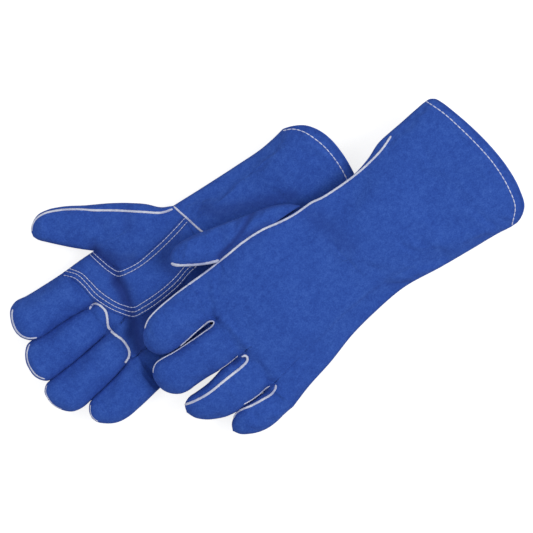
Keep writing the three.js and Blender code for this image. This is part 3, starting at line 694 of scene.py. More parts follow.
# Painted shade along the seams, where shade falls between the two leathers: the colour is darker by this
# share at the seam itself
SEAM_SHADE = 0.5
SEAM_SHADE_REACH = 1.9
PANELS = {"palm": {"palm": "palm_panel", "cuff": "cuff_palm"}, "back": {"back": "back_panel"}}
leather_seat, sheets, leather_pieces = {}, {}, []
for side in ("right", "left"):
    for face in ("back", "palm"):
        up = 1 if CUT[side]["top"] == face else -1
        sheet = face_mesh(f"{side}_{face}_sheet", leather_grids(side, face), up)
        if up > 0:
            worked(side, sheet)
        place = points_of(sheet) * 1000
        # Painted shade: darker along the seams and, on the upper leather, in the folds and painted shadows
        shade = SEAM_SHADE * np.exp(-seam_distance(place, seam_points(sheet)) / SEAM_SHADE_REACH)
        if up > 0:
            shade = np.maximum(shade, pressed(side, place[:, 0], place[:, 1])[1])
        shade_creases(sheet, shade)
        sheets[side, up] = sheet
        leather_seat[side, up] = seat_of(sheet)
        whole = thickened(sheet, LEATHER)
        names = [f"{side}_{part}_leather" for part in (*PANELS[face], *(f"{n}_{face}" for n in STALLS))]
        pieces = cut_apart(whole, names)
        for piece in pieces.values():
            leather_pieces.append(piece)
        for part, node in PANELS[face].items():
            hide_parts(f"{side}_{node}")
            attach(pieces[f"{side}_{part}_leather"], f"{side}_hand")
        for n in STALLS:
            piece = pieces[f"{side}_{n}_{face}_leather"]
            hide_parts(f"{side}_{n}_{face}")
            follow(piece)


def node_group(name, inputs, outputs):
    group = bpy.data.node_groups.new(name, "ShaderNodeTree")
    for label, kind, value in inputs:
        socket = group.interface.new_socket(label, in_out="INPUT", socket_type=kind)
        socket.default_value = value
    for label, kind in outputs:
        group.interface.new_socket(label, in_out="OUTPUT", socket_type=kind)
    return group, group.nodes.new("NodeGroupInput"), group.nodes.new("NodeGroupOutput")


def add_node(tree, kind, **settings):
    node = tree.nodes.new(kind)
    for key, value in settings.items():
        setattr(node, key, value)
    return node


def math_node(tree, operation, first, second):
    node = add_node(tree, "ShaderNodeMath", operation=operation)
    for k, value in enumerate((first, second)):
        if isinstance(value, (int, float)):
            node.inputs[k].default_value = value
        else:
            tree.links.new(value, node.inputs[k])
    return node.outputs[0]


def mixed(tree, *parts):
    """The sum of some values, each with its weight."""
    total = None
    for value, weight in parts:
        share = math_node(tree, "MULTIPLY", value, weight)
        total = share if total is None else math_node(tree, "ADD", total, share)
    return total


def noise_node(tree, scale, detail, roughness, vector):
    node = add_node(tree, "ShaderNodeTexNoise")
    node.inputs["Scale"].default_value = scale
    node.inputs["Detail"].default_value = detail
    node.inputs["Roughness"].default_value = roughness
    tree.links.new(vector, node.inputs["Vector"])
    return node.outputs["Fac"]


# Nap of the split hide: short brushed fibres, fine pits and cloudy dye, on every leather piece
nap, nap_in, nap_out = node_group(
    "suede_nap",
    [("Cloud", "NodeSocketFloat", 1.0), ("Pit", "NodeSocketFloat", 1.0)],
    [("Shade", "NodeSocketFloat"), ("Height", "NodeSocketFloat")])
where = add_node(nap, "ShaderNodeTexCoord").outputs["Object"]
clouds = noise_node(nap, 55, 4, 0.55, where)
patches = noise_node(nap, 17, 3, 0.5, where)
fibres = noise_node(nap, 700, 5, 0.7, where)
pits = noise_node(nap, 1500, 3, 0.6, where)
brushed = noise_node(nap, 210, 4, 0.65, where)
cloudy = mixed(nap, (clouds, 0.62), (patches, 0.38))
fine = mixed(nap, (fibres, 0.6), (brushed, 0.4))
cloud_part = math_node(nap, "MULTIPLY", math_node(nap, "SUBTRACT", cloudy, 0.5), nap_in.outputs["Cloud"])
fine_part = math_node(nap, "MULTIPLY", math_node(nap, "SUBTRACT", fine, 0.5), nap_in.outputs["Pit"])
both_parts = math_node(nap, "ADD", cloud_part, fine_part)
nap.links.new(math_node(nap, "ADD", both_parts, 0.5), nap_out.inputs["Shade"])
nap.links.new(mixed(nap, (fibres, 0.6), (pits, 0.25), (brushed, 0.5)), nap_out.inputs["Height"])


def srgb(r, g, b):
    """A colour seen on screen, as the light that the surface sends back."""
    return [((c / 255 + 0.055) / 1.055) ** 2.4 if c > 10 else c / 255 / 12.92 for c in (r, g, b)] + [1]


def matte(name, **settings):
    """A material, its nodes and its shader with the given inputs set."""
    material = bpy.data.materials.new(name)
    material.use_nodes = True
    shader = material.node_tree.nodes["Principled BSDF"]
    for label, value in settings.items():
        shader.inputs[label.replace("_", " ")].default_value = value
    return material, material.node_tree, shader


def dyed(tree, shade, *stops):
    """Colours for the shades from dark to light. A third stop lies between the first two."""
    ramp = add_node(tree, "ShaderNodeValToRGB")
    colours = ramp.color_ramp.elements
    for k, (position, colour) in enumerate(stops):
        stop = colours[k] if k < 2 else colours.new(position)
        stop.position, stop.color = position, srgb(*colour)
    tree.links.new(shade, ramp.inputs["Fac"])
    return ramp.outputs["Color"]


def roughened(tree, shader, height, strength, distance):
    """Fine relief of a surface, with its depth in mm."""
    bump = add_node(tree, "ShaderNodeBump")
    bump.inputs["Strength"].default_value = strength
    bump.inputs["Distance"].default_value = distance / 1000
    tree.links.new(height, bump.inputs["Height"])
    tree.links.new(bump.outputs["Normal"], shader.inputs["Normal"])


def napped(tree, cloud, pit):
    """The hide's nap in a material: its shade and its height."""
    grain = add_node(tree, "ShaderNodeGroup", node_tree=nap)
    grain.inputs["Cloud"].default_value = cloud
    grain.inputs["Pit"].default_value = pit
    return grain.outputs["Shade"], grain.outputs["Height"]


blue_suede, tree, shader = matte(
    "blue_suede", Roughness=0.93, Specular_IOR_Level=0.2,
    Sheen_Weight=0.14, Sheen_Roughness=0.5, Sheen_Tint=srgb(122, 152, 238))
shade, height = napped(tree, 0.38, 1.25)
blue = dyed(tree, shade, (0.2, (32, 62, 147)), (0.8, (68, 108, 195)), (0.5, (47, 84, 173)))
# Painted shade: each point's stored darkness mixes this dark blue into the dye, for shade in the seams,
# folds and beside the thread rows, and for the left glove's shadow on the right
crease = add_node(tree, "ShaderNodeAttribute", attribute_name="crease")
painted_shade_mix = add_node(tree, "ShaderNodeMix", data_type="RGBA")
painted_shade_mix.inputs["B"].default_value = srgb(31, 49, 120)
tree.links.new(blue, painted_shade_mix.inputs["A"])
tree.links.new(crease.outputs["Fac"], painted_shade_mix.inputs["Factor"])
tree.links.new(painted_shade_mix.outputs["Result"], shader.inputs["Base Color"])
roughened(tree, shader, height, 0.55, 0.5)
for piece in leather_pieces:
    piece.data.materials.append(blue_suede)


# Palm patch: a second layer of the same leather on each palm, from the index side round the base of the
# thumb and down the middle of the palm. Three rows of thread hold its finger side, two its thumb side.
PATCH = 0.9
PATCH_LEATHER = 0.7
PATCH_COLUMNS = 46
PATCH_STEPS = 170
# Lifts of the two outermost rings of its points, as shares of the patch's height: its edge is rolled under
PATCH_EDGE_LIFTS = (-0.5, 0.35)
# Each row of thread pulls the patch down by this much, over this reach, and painted shade darkens the
# colour beside it
THREAD_PULL = 0.42
THREAD_PULL_REACH = 0.95
THREAD_SHADE = 0.5
THREAD_SHADE_REACH = 1.1
PATCH_EDGES = {
    "right": (
        [(-150.6, 80.6), (-147, 73), (-143.4, 60), (-142, 48), (-138, 35.6), (-131, 22.8), (-120.6, 11.4),
         (-112, 10), (-85, 10), (-70, 12), (-60, 15), (-36, 17)],
        [(-116.6, 80.8), (-114, 72), (-111, 62), (-107.6, 55.8), (-99, 52.8), (-90, 51.8), (-75, 53.1),
         (-60, 55.2), (-45, 58.2), (-34.6, 60.6)]),
    "left": (
        [(-54, -1.4), (-49, -16.5), (-40, -42.6), (-21, -58.8), (10, -56), (36, -52.4), (62, -47.5)],
        [(-34, -2.2), (-23, -18.3), (-13, -24), (2.5, -26), (36, -20.8), (62, -12.8)]),
}


def beside(line, other, gap):
    """A line that runs so many millimetres from the first one, towards the other."""
    here, there = trace(line, 24), trace(other, 24)
    return here + directions(there - here) * gap


PATCH_ROWS = {
    "right": [
        [(-150.4, 78), (-145, 72), (-141.6, 60), (-140.4, 49), (-136.2, 36.6), (-129.6, 24.2),
         (-119.4, 12.6), (-112, 11.6), (-85, 11.6), (-70, 13.6), (-60, 16.4), (-44, 18.6)],
        [(-147, 80), (-141, 72.6), (-138.2, 60), (-137, 50), (-133, 38), (-126.8, 26), (-117, 15.8),
         (-110, 15), (-85, 15), (-70, 17), (-60, 19.8), (-44, 22)],
        [(-143.4, 80.4), (-137.4, 71.6), (-134.8, 60), (-133.4, 51.4), (-129.6, 39.6), (-123.8, 28),
         (-115, 19.2), (-108, 18.6), (-85, 18.6), (-70, 20.6), (-60, 23.2), (-44, 25.4)],
        [(-118.4, 80.4), (-116, 70.6), (-113, 60.4), (-109.6, 54.2), (-100, 51), (-90, 50), (-75, 51.3),
         (-60, 53.4), (-45, 56.4), (-34.6, 58.8)],
        [(-121.4, 80), (-119, 69), (-116, 58.4), (-112, 50.8), (-101, 47.4), (-90, 46.5), (-75, 47.2),
         (-60, 49.4), (-45, 52.2), (-34.6, 54.8)],
    ],
    "left": [beside(PATCH_EDGES["left"][k], PATCH_EDGES["left"][1 - k], gap)
             for k, gap in ((0, 1.6), (0, 5), (0, 8.5), (1, 1.6), (1, 5))],
}


# Rays down on the leather start from this far off. A line beside it takes the nearest point at seam height.
RAY_START = 0.3
ASIDE_HEIGHT = 0.03


def on_leather(side, path, lift, up=1, evened=3):
    """Points and outward directions along a line laid on the upper or lower leather of a glove."""
    seat = leather_seat[side, up]
    points, normals = [], []
    for x, y in path:
        above = Vector((x / 1000, y / 1000, RAY_START * up))
        hit, normal, _, _ = seat.ray_cast(above, Vector((0, 0, -up)))
        if hit is None:
            hit, normal, _, _ = seat.find_nearest(Vector((x / 1000, y / 1000, ASIDE_HEIGHT)))
        points.append(list(hit))
        normals.append(list(normal if normal.z * up > 0 else -normal))
    points, normals = np.array(points), np.array(normals)
    for data in (points, normals):
        for _ in range(evened):
            data[1:-1] = (data[:-2] + 2 * data[1:-1] + data[2:]) / 4
    normals = directions(normals)
    return points + normals * lift / 1000, normals


def closed_piece(name, mesh):
    """A finished mesh as a smooth-shaded piece with its faces outwards."""
    return placed(name, smoothed(cleaned(mesh, 1e-6)))


def line_distance(x, y, line):
    """How far each point is from a line, squared."""
    points = trace(line, 260)
    return ((np.stack([x, y], axis=-1)[:, None] - points[None]) ** 2).sum(2).min(1)


for side, (finger_edge, thumb_edge) in PATCH_EDGES.items():
    up = 1 if side == "right" else -1
    first, last = trace(finger_edge, PATCH_STEPS), trace(thumb_edge, PATCH_STEPS)
    shares = np.r_[0, 0, (1 - np.cos(np.linspace(0, math.pi, PATCH_COLUMNS))) / 2, 1, 1]
    lifts = np.r_[PATCH_EDGE_LIFTS, np.full(PATCH_COLUMNS, 1.0), PATCH_EDGE_LIFTS[::-1]] * PATCH
    rows = []
    for share, lift in zip(shares, lifts):
        line = first + (last - first) * share
        points, normals = on_leather(side, line, 0.0, up)
        sunk = sum(THREAD_PULL * np.exp(-line_distance(*line.T, row) / THREAD_PULL_REACH**2)
                   for row in PATCH_ROWS[side])
        rows.append(points + normals * ((lift - sunk) / 1000)[:, None])
    grid = np.stack(rows, axis=1) * 1000
    sheet = face_mesh(f"{side}_patch", [grid], up)
    x, y, _ = points_of(sheet).T * 1000
    # Painted shade in the patch's folds and beside its rows of thread
    shade = pressed(side, x, y)[1] if up > 0 else np.zeros(len(x))
    for row in (*PATCH_ROWS[side], finger_edge, thumb_edge):
        shade = np.maximum(shade, THREAD_SHADE * np.exp(-line_distance(x, y, row) / THREAD_SHADE_REACH**2))
    shade_creases(sheet, shade)
    mesh = thickened(sheet, PATCH_LEATHER)
    piece = closed_piece(f"{side}_patch_leather", mesh)
    piece.data.materials.append(blue_suede)
    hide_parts(f"{side}_palm_patch")
    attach(piece, f"{side}_hand")
    leather_seat[side, up] = seat_of(sheets[side, up], mesh)


# Lining: a bag of cotton fleece, 2.2 mm thick, that fills out the glove and keeps out the cold. It is one
# sleeve in the hand, one in the cuff and one in each finger and thumb, sewn in with the leather's seams.
# The insets are from the outside of the leather, and LINING_UNDER is the least gap beneath the leather.
LINING = 2.2
LINING_INSET = 2.6
LINING_SIDE_INSET = 3.4
LINING_UNDER = 0.6
# It is drawn in sideways by this share of a section's width at most, and keeps at least the other share of
# the section's half thickness. Stalls that are narrower than the narrowest lined one stay empty there.
SIDE_INSET_MOST = 0.4
LEAST_ROOM = 0.12
NARROWEST_LINED = 17
LINED_FROM_ROW = 8
HAND_AROUND, FINGER_AROUND = 90, 26
# The inner wall keeps this share of the lining's thickness from the outer one, and a stall's two walls are
# closed by points this far beyond their last rings
INNER_UNDER = 0.8
TIP_REACH = (1, 0.2)
# The cuff's lining ends above the hem's turned layer. The rows' spacing is read at this column.
HEM_DEPTH = 7.5
HEM_COLUMN = 40


def inner_section(above, below, row, inset, side_inset, columns):
    """A ring inside one section, drawn in from the leather and from the seams at its sides."""
    middle, half = (above[row] + below[row]) / 2, (above[row] - below[row]) / 2
    run = lengths(middle)
    side = min(side_inset, run[-1] * SIDE_INSET_MOST)
    at = run[-1] / 2 + (run[-1] / 2 - side) * np.sin(np.linspace(-math.pi / 2, math.pi / 2, columns))
    centre = np.stack([np.interp(at, run, middle[:, k]) for k in range(3)], axis=1)
    reach = np.stack([np.interp(at, run, half[:, k]) for k in range(3)], axis=1)
    length = np.linalg.norm(reach, axis=1)[:, None]
    room = np.maximum(length - inset, LEAST_ROOM * length)
    room *= np.maximum(0, 1 - np.abs(np.linspace(-1, 1, columns)) ** 6)[:, None] ** 0.5
    reach = reach / (length + 1e-9) * room
    return np.vstack([centre + reach, (centre - reach)[::-1][1:-1]])


def tucked(side, ring, depth):
    """The ring kept at least so deep under the upper leather and above the lower one."""
    up, down = Vector((0, 0, 1)), Vector((0, 0, -1))
    for point in ring:
        x, y = point[0] / 1000, point[1] / 1000
        over = leather_seat[side, 1].ray_cast(Vector((x, y, RAY_START)), down)[0]
        under = leather_seat[side, -1].ray_cast(Vector((x, y, -RAY_START)), up)[0]
        if over is None or under is None:
            continue
        high, low = over.z * 1000 - depth, under.z * 1000 + depth
        point[2] = (high + low) / 2 if high < low else min(max(point[2], low), high)
    return ring


def band(first, second, around):
    """Faces between two closed rings of points, each given by the number of its first point."""
    nexts = [(j + 1) % around for j in range(around)]
    return [(first + j, first + k, second + k, second + j) for j, k in enumerate(nexts)]


def sleeve(name, side, outer, inner, tip):
    """A fleece sleeve with an outer and an inner wall, open at its root, and at its end without a tip."""
    outer = [tucked(side, ring, LEATHER + LINING_UNDER) for ring in outer]
    inner = [tucked(side, ring, LEATHER + LINING_UNDER + LINING * INNER_UNDER) for ring in inner]
    columns, rows = len(outer[0]), len(outer)
    verts = [list(p / 1000) for wall in (outer, inner) for ring in wall for p in ring]
    faces = []
    for i in (*range(rows - 1), *range(rows, 2 * rows - 1)):
        faces += band(i * columns, (i + 1) * columns, columns)
    for i in [0] if tip is not None else [0, rows - 1]:
        faces += band(i * columns, (rows + i) * columns, columns)
    if tip is not None:
        for wall in (0, 1):
            base = (wall * rows + rows - 1) * columns
            verts.append(list(((outer, inner)[wall][-1].mean(0) + tip * TIP_REACH[wall]) / 1000))
            faces += [(base + j, base + (j + 1) % columns, len(verts) - 1) for j in range(columns)]
    mesh = bpy.data.meshes.new(name)
    mesh.from_pydata(verts, [], faces)
    return mesh


fleece, tree, shader = matte("fleece", Roughness=1, Sheen_Weight=0.4)
tufts = noise_node(tree, 420, 5, 0.7, add_node(tree, "ShaderNodeTexCoord").outputs["Object"])
cotton = dyed(tree, tufts, (0.3, (196, 188, 172)), (0.7, (238, 233, 222)))
tree.links.new(cotton, shader.inputs["Base Color"])
roughened(tree, shader, tufts, 0.9, 1.2)
hands = {}
for side in ("right", "left"):
    top, bottom = CUT[side]["top"], CUT[side]["bottom"]
    above, below = (leather_grids(side, face) for face in (top, bottom))
    hand = [np.concatenate([grids[0], grids[1][1:]]) if face == "palm" else grids[0]
            for grids, face in ((above, top), (below, bottom))]
    hands[side] = hand
    step = np.linalg.norm(hand[0][-1, HEM_COLUMN] - hand[0][-2, HEM_COLUMN])
    end = len(hand[0]) - 1 - int(HEM_DEPTH / step)
    spans = {
        "hand": (*hand, range(LINED_FROM_ROW, WRIST_ROW - 1, 3), HAND_AROUND),
        "cuff": (*hand, [*range(WRIST_ROW + 1, end, 4), end], HAND_AROUND),
    }
    for name, upper, lower in zip(STALLS, above[-len(STALLS):], below[-len(STALLS):]):
        wide = np.linalg.norm(upper[:, 0] - upper[:, -1], axis=1) > NARROWEST_LINED
        spans[name] = (upper, lower, [r for r in range(2, len(upper), 4) if wide[r]], FINGER_AROUND)
    for name, (upper, lower, at, around) in spans.items():
        outer, inner = (
            [inner_section(upper, lower, r, LINING_INSET + deep, LINING_SIDE_INSET + deep, around)
             for r in at] for deep in (0, LINING))
        ahead = outer[-1].mean(0) - outer[-2].mean(0)
        tip = ahead / np.linalg.norm(ahead) if name in STALLS else None
        mesh = sleeve(f"{side}_{name}_fleece", side, outer, inner, tip)
        piece = closed_piece(f"{side}_{name}_fleece", mesh)
        piece.data.materials.append(fleece)
        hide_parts(f"{side}_{name}_lining")
        if tip is None:
            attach(piece, f"{side}_hand")
        else:
            follow(piece)


# Hem: the cuff's own leather, turned in over its edge by 7.5 mm and sewn down round the mouth with a row
# of thread. Its outer layer lies flush with the cuff, and the turned layer holds the lining's end.

# How far each point of the turned edge lies out of the mouth and inwards, in mm
TURNED = [(-1.5, 0.15), (-0.2, -0.05), (0.55, 0.3), (0.85, 1.0), (0.55, 1.8),
          (-0.2, 2.2), (-3, 2.5), (-7.4, 2.6), (-7.6, 1.5), (-1.5, 1.4)]


def section(above, below, row):
    """Closed ring of points round one section of a glove, in mm."""
    return np.vstack([above[row], below[row][::-1][1:-1]])


for side, hand in hands.items():
    last = len(hand[0]) - 1
    ring = section(*hand, last)
    out = directions(ring - section(*hand, last - 3))
    inward = directions(inner_section(*hand, last, 1, 1, len(hand[0][0])) - ring)
    loops = [ring + out * d + inward * e for d, e in TURNED]
    verts = [list(p / 1000) for loop in loops for p in loop]
    faces = []
    for i in range(len(loops)):
        faces += band(i * len(ring), (i + 1) % len(loops) * len(ring), len(ring))
    mesh = bpy.data.meshes.new(f"{side}_hem")
    mesh.from_pydata(verts, [], faces)
    piece = closed_piece(f"{side}_hem_leather", mesh)
    piece.data.materials.append(blue_suede)
    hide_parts(f"{side}_cuff_hem")
    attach(piece, f"{side}_hand")


# Welts: strips of white leather laid in the seams before they are sewn, so that their folded edge
# stands out between the two blue leathers. They follow the edge of each stall, the index side of the
# hand, the wrist and the bases of the two middle fingers.

# A strip's middle lies above the leather by a share of its height. Its ends taper over WELT_TAPER.
WELT_LIFT = 0.18
WELT_STEP = 0.9
WELT_TAPER = 1.6
WELT_SIDES = 10
WELT_SQUARENESS = (0.75, 0.85)
WELT_BLUNT = 0.25
WELT_UNEVEN = 0.1


def sewn_strip(name, points, normals, width, height):
    """A rounded strip swept along a line, with tapered closed ends."""
    along = directions(np.gradient(points * 1000, axis=0))
    sideways = directions(np.cross(along, normals))
    upright = np.cross(sideways, along)
    angles = np.linspace(0, 2 * math.pi, WELT_SIDES, endpoint=False)
    across, lift = (np.sign(form) * np.abs(form) ** power
                    for form, power in zip((np.cos(angles), np.sin(angles)), WELT_SQUARENESS))
    run = lengths(points) * 1000
    to_end = np.minimum(run, run[-1] - run)
    taper = np.sqrt(np.clip((to_end + WELT_BLUNT) / WELT_TAPER, 0.05, 1))
    uneven = 1 + WELT_UNEVEN * np.sin(run * 1.7) * np.sin(run * 0.53)
    wide = (width / 2000 * taper * uneven)[:, None, None]
    tall = (height / 2000 * taper)[:, None, None]
    rings = (points[:, None] + wide * across[None, :, None] * sideways[:, None]
             + tall * lift[None, :, None] * upright[:, None])
    verts = rings.reshape(-1, 3).tolist() + [points[0].tolist(), points[-1].tolist()]
    count, sides = len(points), len(angles)
    faces = []
    for i in range(count - 1):
        faces += band(i * sides, (i + 1) * sides, sides)
    for j in range(sides):
        k = (j + 1) % sides
        faces.append((count * sides, k, j))
        faces.append((count * sides + 1, (count - 1) * sides + j, (count - 1) * sides + k))
    mesh = bpy.data.meshes.new(name)
    mesh.from_pydata(verts, [], faces)
    return cleaned(mesh)


def joined(name, meshes):
    """Several meshes as one piece."""
    bm = bmesh.new()
    for mesh in meshes:
        bm.from_mesh(mesh)
    mesh = bpy.data.meshes.new(name)
    bm.to_mesh(mesh)
    bm.free()
    return placed(name, smoothed(mesh))


welting, tree, shader = matte("white_welting", Roughness=0.8)
shade, height = napped(tree, 1.6, 1.2)
white = dyed(tree, shade, (0.25, (172, 180, 214)), (0.75, (230, 233, 245)))
tree.links.new(white, shader.inputs["Base Color"])
roughened(tree, shader, height, 0.5, 0.4)

# Each welt's lines on the leather, and the width and height of the strip on each
WELTS = {
    "right": {
        "index": [
            ([(-202, 47), (-207.4, 49.8), (-211.6, 55), (-213.2, 61), (-212, 68.6), (-209.4, 74.8),
              (-205.4, 79.6)], 2, 1.4),
        ],
        "middle": [
            ([(-210.6, 45.6), (-216, 41.6), (-220.2, 34.4), (-221.8, 26), (-220.8, 18.2),
              (-217, 12.6)], 1.5, 1.1),
        ],
        "ring": [
            ([(-219, 6.8), (-223, 3), (-224.4, -4), (-223.4, -12), (-220, -18)], 0.8, 0.8),
        ],
        "little": [
            ([(-197, -29.6), (-201, -34.6), (-202, -40.4), (-200, -45.6)], 0.8, 0.8),
        ],
        "thumb": [
            ([(-152, 127), (-149.6, 130), (-143, 133.6), (-135, 133.8), (-125, 130.2), (-110, 121.6),
              (-98, 112.4), (-78, 98), (-60, 84), (-48, 75), (-38, 72)], 2.1, 1.5),
        ],
        "side_welt": [
            ([(-149, 80.2), (-134, 80.8), (-120, 80.6)], 1.8, 1.4),
            ([(-32, 72), (-10, 71.2), (20, 70)], 1.8, 1.4),
        ],
        "wrist_welt": [
            ([(-36, 73.4), (-33, 62), (-28, 41), (-20, 20), (-12, 0), (-8, -20), (-7, -34)], 1.8, 1.4),
        ],
        "finger_base_welt": [
            ([(-149.4, 40.6), (-147.6, 42.3), (-144.8, 43.3), (-141.8, 42), (-139.8, 38.8), (-139, 36),
              (-138.6, 31), (-141, 25.4), (-145, 18), (-144.4, 11.6), (-141.6, 4), (-140.4, -4),
              (-141.8, -10.4), (-146, -14.6), (-151, -16.2)], 2.3, 1.7),
        ],
    },
    "left": {
        "index": [
            ([(-118, -1.6), (-112, 2.6), (-106, 4.6), (-98, 6), (-80, 7.6), (-65, 8.2)], 1.7, 1.4),
            ([(-102, -31.8), (-92, -30.7), (-85, -29.7), (-75, -28.7), (-69, -28.6), (-65.8, -29.5),
              (-64.3, -31.2)], 1.5, 1.3),
        ],
        "middle": [
            ([(-64.3, -31), (-65.2, -32.6), (-68.4, -33.5), (-80, -34.2), (-98, -34), (-110, -33.6),
              (-120, -32.4), (-128, -32.6), (-132.6, -35.4), (-134.6, -38)], 1.3, 1.2),
            ([(-86, -69.1), (-77, -69.2), (-70, -68.8), (-64.6, -68.4)], 1.0, 0.9),
        ],
        "ring": [
            ([(-128, -77.4), (-120, -79.4), (-105, -81), (-92, -80.2), (-80, -79.2), (-66, -78.2),
              (-59.6, -76.6), (-57.6, -73.6), (-59.4, -71.2), (-62.4, -70.4)], 2.3, 1.7),
            ([(-85, -106.8), (-76, -107.6), (-67, -107.2), (-60.6, -106.4), (-56.6, -106.8)], 1.2, 1.0),
        ],
        "little": [
            ([(-99.4, -112.2), (-96, -110.4), (-92, -109.8), (-80, -112), (-68, -113.2), (-58, -113.4),
              (-53.6, -111.4), (-51.4, -108.8)], 2.2, 1.6),
        ],
        "thumb": [
            ([(-65.8, 32.6), (-63.6, 29.6), (-58.2, 25.6), (-51, 21), (-44.6, 17.4), (-38.6, 14.4),
              (-30, 11)], 3.6, 2.2),
        ],
        "side_welt": [
            ([(-65, 8.2), (-40, 8.8), (-20, 10.4), (-5, 11.6), (20, 10.4), (32, 8), (45, 6.2),
              (60, 5.8), (67, 5.8), (74, 4.4), (90, 3.4), (110, 3.6), (130, 5.8), (145, 9),
              (158, 14)], 1.95, 1.6),
        ],
        "wrist_welt": [
            ([(70, 3), (68.4, -20), (68.4, -50), (69.4, -76), (70, -99)], 2.0, 1.4),
        ],
        "finger_base_welt": [
            ([(-60, -32.4), (-61, -42), (-61, -58), (-58.4, -66), (-54.6, -74), (-53, -86),
              (-53, -102)], 2.2, 1.6),
        ],
    },
}
# Welts that run in the seams of a glove's lower leather
UNDERSIDE = {("right", "side_welt"), ("left", "wrist_welt"), ("left", "finger_base_welt")}
for side, seams in WELTS.items():
    for seam, lines in seams.items():
        strips = []
        up = -1 if (side, seam) in UNDERSIDE else 1
        for k, (line, width, height) in enumerate(lines):
            path = trace(line, max(12, int(lengths(line)[-1] / WELT_STEP)))
            points, normals = on_leather(side, path, height * WELT_LIFT, up, 7)
            strips.append(sewn_strip(f"{side}_{seam}_strip_{k}", points, normals, width, height))
        node = seam if seam.endswith("welt") else f"{seam}_welt"
        piece = joined(f"{side}_{node}_strip", strips)
        piece.data.materials.append(welting)
        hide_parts(f"{side}_{node}")
        if seam.endswith("welt"):
            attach(piece, f"{side}_hand")
        else:
            follow(piece)


# Thread: white waxed sewing thread in straight rows, laid stitch by stitch along the palm patch and
# round the hems. Each stitch is a short length of thread that dips into the leather at both ends.
HEM_ROWS = {
    "right": [(84, 72.4), (90, 69.4), (96.6, 62), (101, 52), (104.4, 40), (105.8, 27), (105, 8),
              (101.4, -9), (93, -27), (82, -41)],
    "left": [(201.4, 20.4), (207, 5), (212, -16), (216.4, -40), (218.4, -60), (217.4, -82), (212.4, -101),
             (203, -111)],
}
THREAD_ROWS = {
    side: {
        "patch_thread": [(line, 1 if side == "right" else -1) for line in PATCH_ROWS[side]],
        "hem_thread": [(HEM_ROWS[side], 1), (HEM_ROWS[side], -1)],
    } for side in ("right", "left")
}
# Pitch, length and width of a stitch in each row, in mm
STITCHES = {"patch_thread": (3.3, 3.5, 0.78), "hem_thread": (4.6, 4.6, 1.15)}
THREAD_LIFT = 0.12


def stitch_tree():
    """Lays stitches along every line of the mesh it is given."""
    tree = bpy.data.node_groups.new("stitches", "GeometryNodeTree")
    socket = tree.interface.new_socket
    socket("Geometry", in_out="INPUT", socket_type="NodeSocketGeometry")
    for label, value in (("Pitch", 0.0034), ("Stitch Length", 0.0027), ("Thread Width", 0.0008)):
        socket(label, in_out="INPUT", socket_type="NodeSocketFloat").default_value = value
    socket("Thread", in_out="INPUT", socket_type="NodeSocketMaterial")
    socket("Geometry", in_out="OUTPUT", socket_type="NodeSocketGeometry")
    inputs, outputs = tree.nodes.new("NodeGroupInput"), tree.nodes.new("NodeGroupOutput")
    curve = tree.nodes.new("GeometryNodeMeshToCurve")
    spots = tree.nodes.new("GeometryNodeCurveToPoints")
    spots.mode = "LENGTH"
    bead = tree.nodes.new("GeometryNodeMeshUVSphere")
    bead.inputs["Segments"].default_value = 8
    bead.inputs["Rings"].default_value = 6
    bead.inputs["Radius"].default_value = 0.5
    size = tree.nodes.new("ShaderNodeCombineXYZ")
    place = tree.nodes.new("GeometryNodeInstanceOnPoints")
    real = tree.nodes.new("GeometryNodeRealizeInstances")
    paint = tree.nodes.new("GeometryNodeSetMaterial")
    for source, output, target, label in (
            (inputs, "Geometry", curve, "Mesh"), (curve, "Curve", spots, "Curve"),
            (inputs, "Pitch", spots, "Length"), (spots, "Points", place, "Points"),
            (spots, "Rotation", place, "Rotation"), (bead, "Mesh", place, "Instance"),
            (inputs, "Thread Width", size, "X"), (inputs, "Thread Width", size, "Y"),
            (inputs, "Stitch Length", size, "Z"), (size, "Vector", place, "Scale"),
            (place, "Instances", real, "Geometry"), (real, "Geometry", paint, "Geometry"),
            (inputs, "Thread", paint, "Material"), (paint, "Geometry", outputs, "Geometry")):
        tree.links.new(source.outputs[output], target.inputs[label])
    return tree


thread_white, tree, shader = matte("thread_white", Roughness=0.7)
strands = noise_node(tree, 900, 2, 0.5, add_node(tree, "ShaderNodeTexCoord").outputs["Object"])
waxed = dyed(tree, strands, (0.3, (180, 191, 231)), (0.7, (222, 229, 250)))
tree.links.new(waxed, shader.inputs["Base Color"])

stitches = stitch_tree()
sockets = {item.name: item.identifier for item in stitches.interface.items_tree if item.in_out == "INPUT"}
for side, rows in THREAD_ROWS.items():
    for name, lines in rows.items():
        verts, edges = [], []
        for line, up in lines:
            points, _ = on_leather(side, trace(line, 240), THREAD_LIFT, up)
            start = len(verts)
            verts += points.tolist()
            edges += [(start + k, start + k + 1) for k in range(len(points) - 1)]
        path_mesh = bpy.data.meshes.new(f"{side}_{name}_line")
        path_mesh.from_pydata(verts, edges, [])
        path = placed(f"{side}_{name}_line", path_mesh)
        sewing = path.modifiers.new("sewing", "NODES")
        sewing.node_group = stitches
        pitch, length, width = STITCHES[name]
        sewing[sockets["Pitch"]] = pitch / 1000
        sewing[sockets["Stitch Length"]] = length / 1000
        sewing[sockets["Thread Width"]] = width / 1000
        sewing[sockets["Thread"]] = thread_white
        piece = placed(f"{side}_{name}", smoothed(made_plain(path)))
        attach(piece, f"{side}_hand")


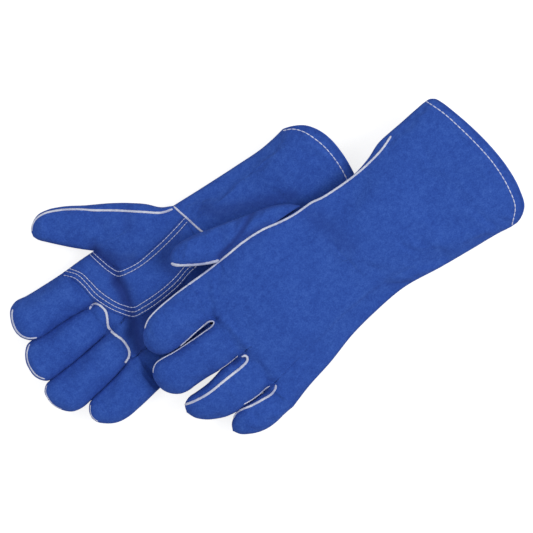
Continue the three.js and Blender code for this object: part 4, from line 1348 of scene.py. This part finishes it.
# Bench: the plain white top that the gloves lie on. It isn't part of the pair, so it is staged only. It
# glows a little for the camera, which makes it as white as the photograph's ground and keeps the shadow.
BENCH_CORNERS = ((-4, -4), (4, -4), (4, 4), (-4, 4))
BENCH_UNDER = 0.0005
BENCH_GREY, BENCH_GLOW = 0.54, 0.76
bench_mesh = bpy.data.meshes.new("bench")
bench_mesh.from_pydata([(x, y, -BENCH_UNDER) for x, y in BENCH_CORNERS], [], [(0, 1, 2, 3)])
bench = placed("bench", bench_mesh)
bench_white, tree, shader = matte(
    "bench_white", Base_Color=(BENCH_GREY, BENCH_GREY, BENCH_GREY, 1), Roughness=1, Specular_IOR_Level=0)
glow = add_node(tree, "ShaderNodeEmission")
glow.inputs["Color"].default_value = (1, 1, 1, 1)
rays = add_node(tree, "ShaderNodeLightPath")
both = add_node(tree, "ShaderNodeAddShader")
strength = math_node(tree, "MULTIPLY", rays.outputs["Is Camera Ray"], BENCH_GLOW)
tree.links.new(strength, glow.inputs["Strength"])
tree.links.new(shader.outputs[0], both.inputs[0])
tree.links.new(glow.outputs[0], both.inputs[1])
tree.links.new(both.outputs[0], tree.nodes["Material Output"].inputs["Surface"])
bench_mesh.materials.append(bench_white)


# Light: a white studio all round, and two wide square lamps above, as over a table for product pictures.
# The stronger one stands towards the cuffs and the little fingers, where the photograph's shadows start.
WORLD_STRENGTH = 0.54
world = bpy.data.worlds.new("studio")
bpy.context.scene.world = world
world.use_nodes = True
background = world.node_tree.nodes["Background"]
background.inputs["Color"].default_value = (1, 1, 1, 1)
background.inputs["Strength"].default_value = WORLD_STRENGTH


def soft_lamp(name, place, size, power):
    lamp = bpy.data.lights.new(name, "AREA")
    lamp.shape = "SQUARE"
    lamp.size = size
    lamp.energy = power
    holder = placed(name, lamp)
    holder.location = place
    holder.rotation_euler = (-Vector(place)).to_track_quat("-Z", "Y").to_euler()


soft_lamp("key", place=(1.2, -0.7, 1.5), size=1.0, power=15)
soft_lamp("fill", place=(-0.7, 0.9, 1.7), size=1.6, power=6)


# Camera: straight above the gloves and far off, turned so that the cuffs point up to the right as in the
# photograph. The photograph's width is in metres, at the height of the gloves' upper leather.
PHOTO_TURN = 34.8
PHOTO_WIDTH = 0.4744
PHOTO_MIDDLE = (0.0016, -0.0178)
CAMERA_HEIGHT = 4.2
IN_FOCUS_HEIGHT = 0.025
SENSOR = 36
camera = placed("camera", bpy.data.cameras.new("camera"))
camera.data.sensor_width = SENSOR
camera.data.lens = SENSOR * (CAMERA_HEIGHT - IN_FOCUS_HEIGHT) / PHOTO_WIDTH
camera.location = (*PHOTO_MIDDLE, CAMERA_HEIGHT)
camera.rotation_euler = (0, 0, math.radians(-PHOTO_TURN))
bpy.context.scene.camera = camera
bpy.context.scene.view_settings.view_transform = "Standard"
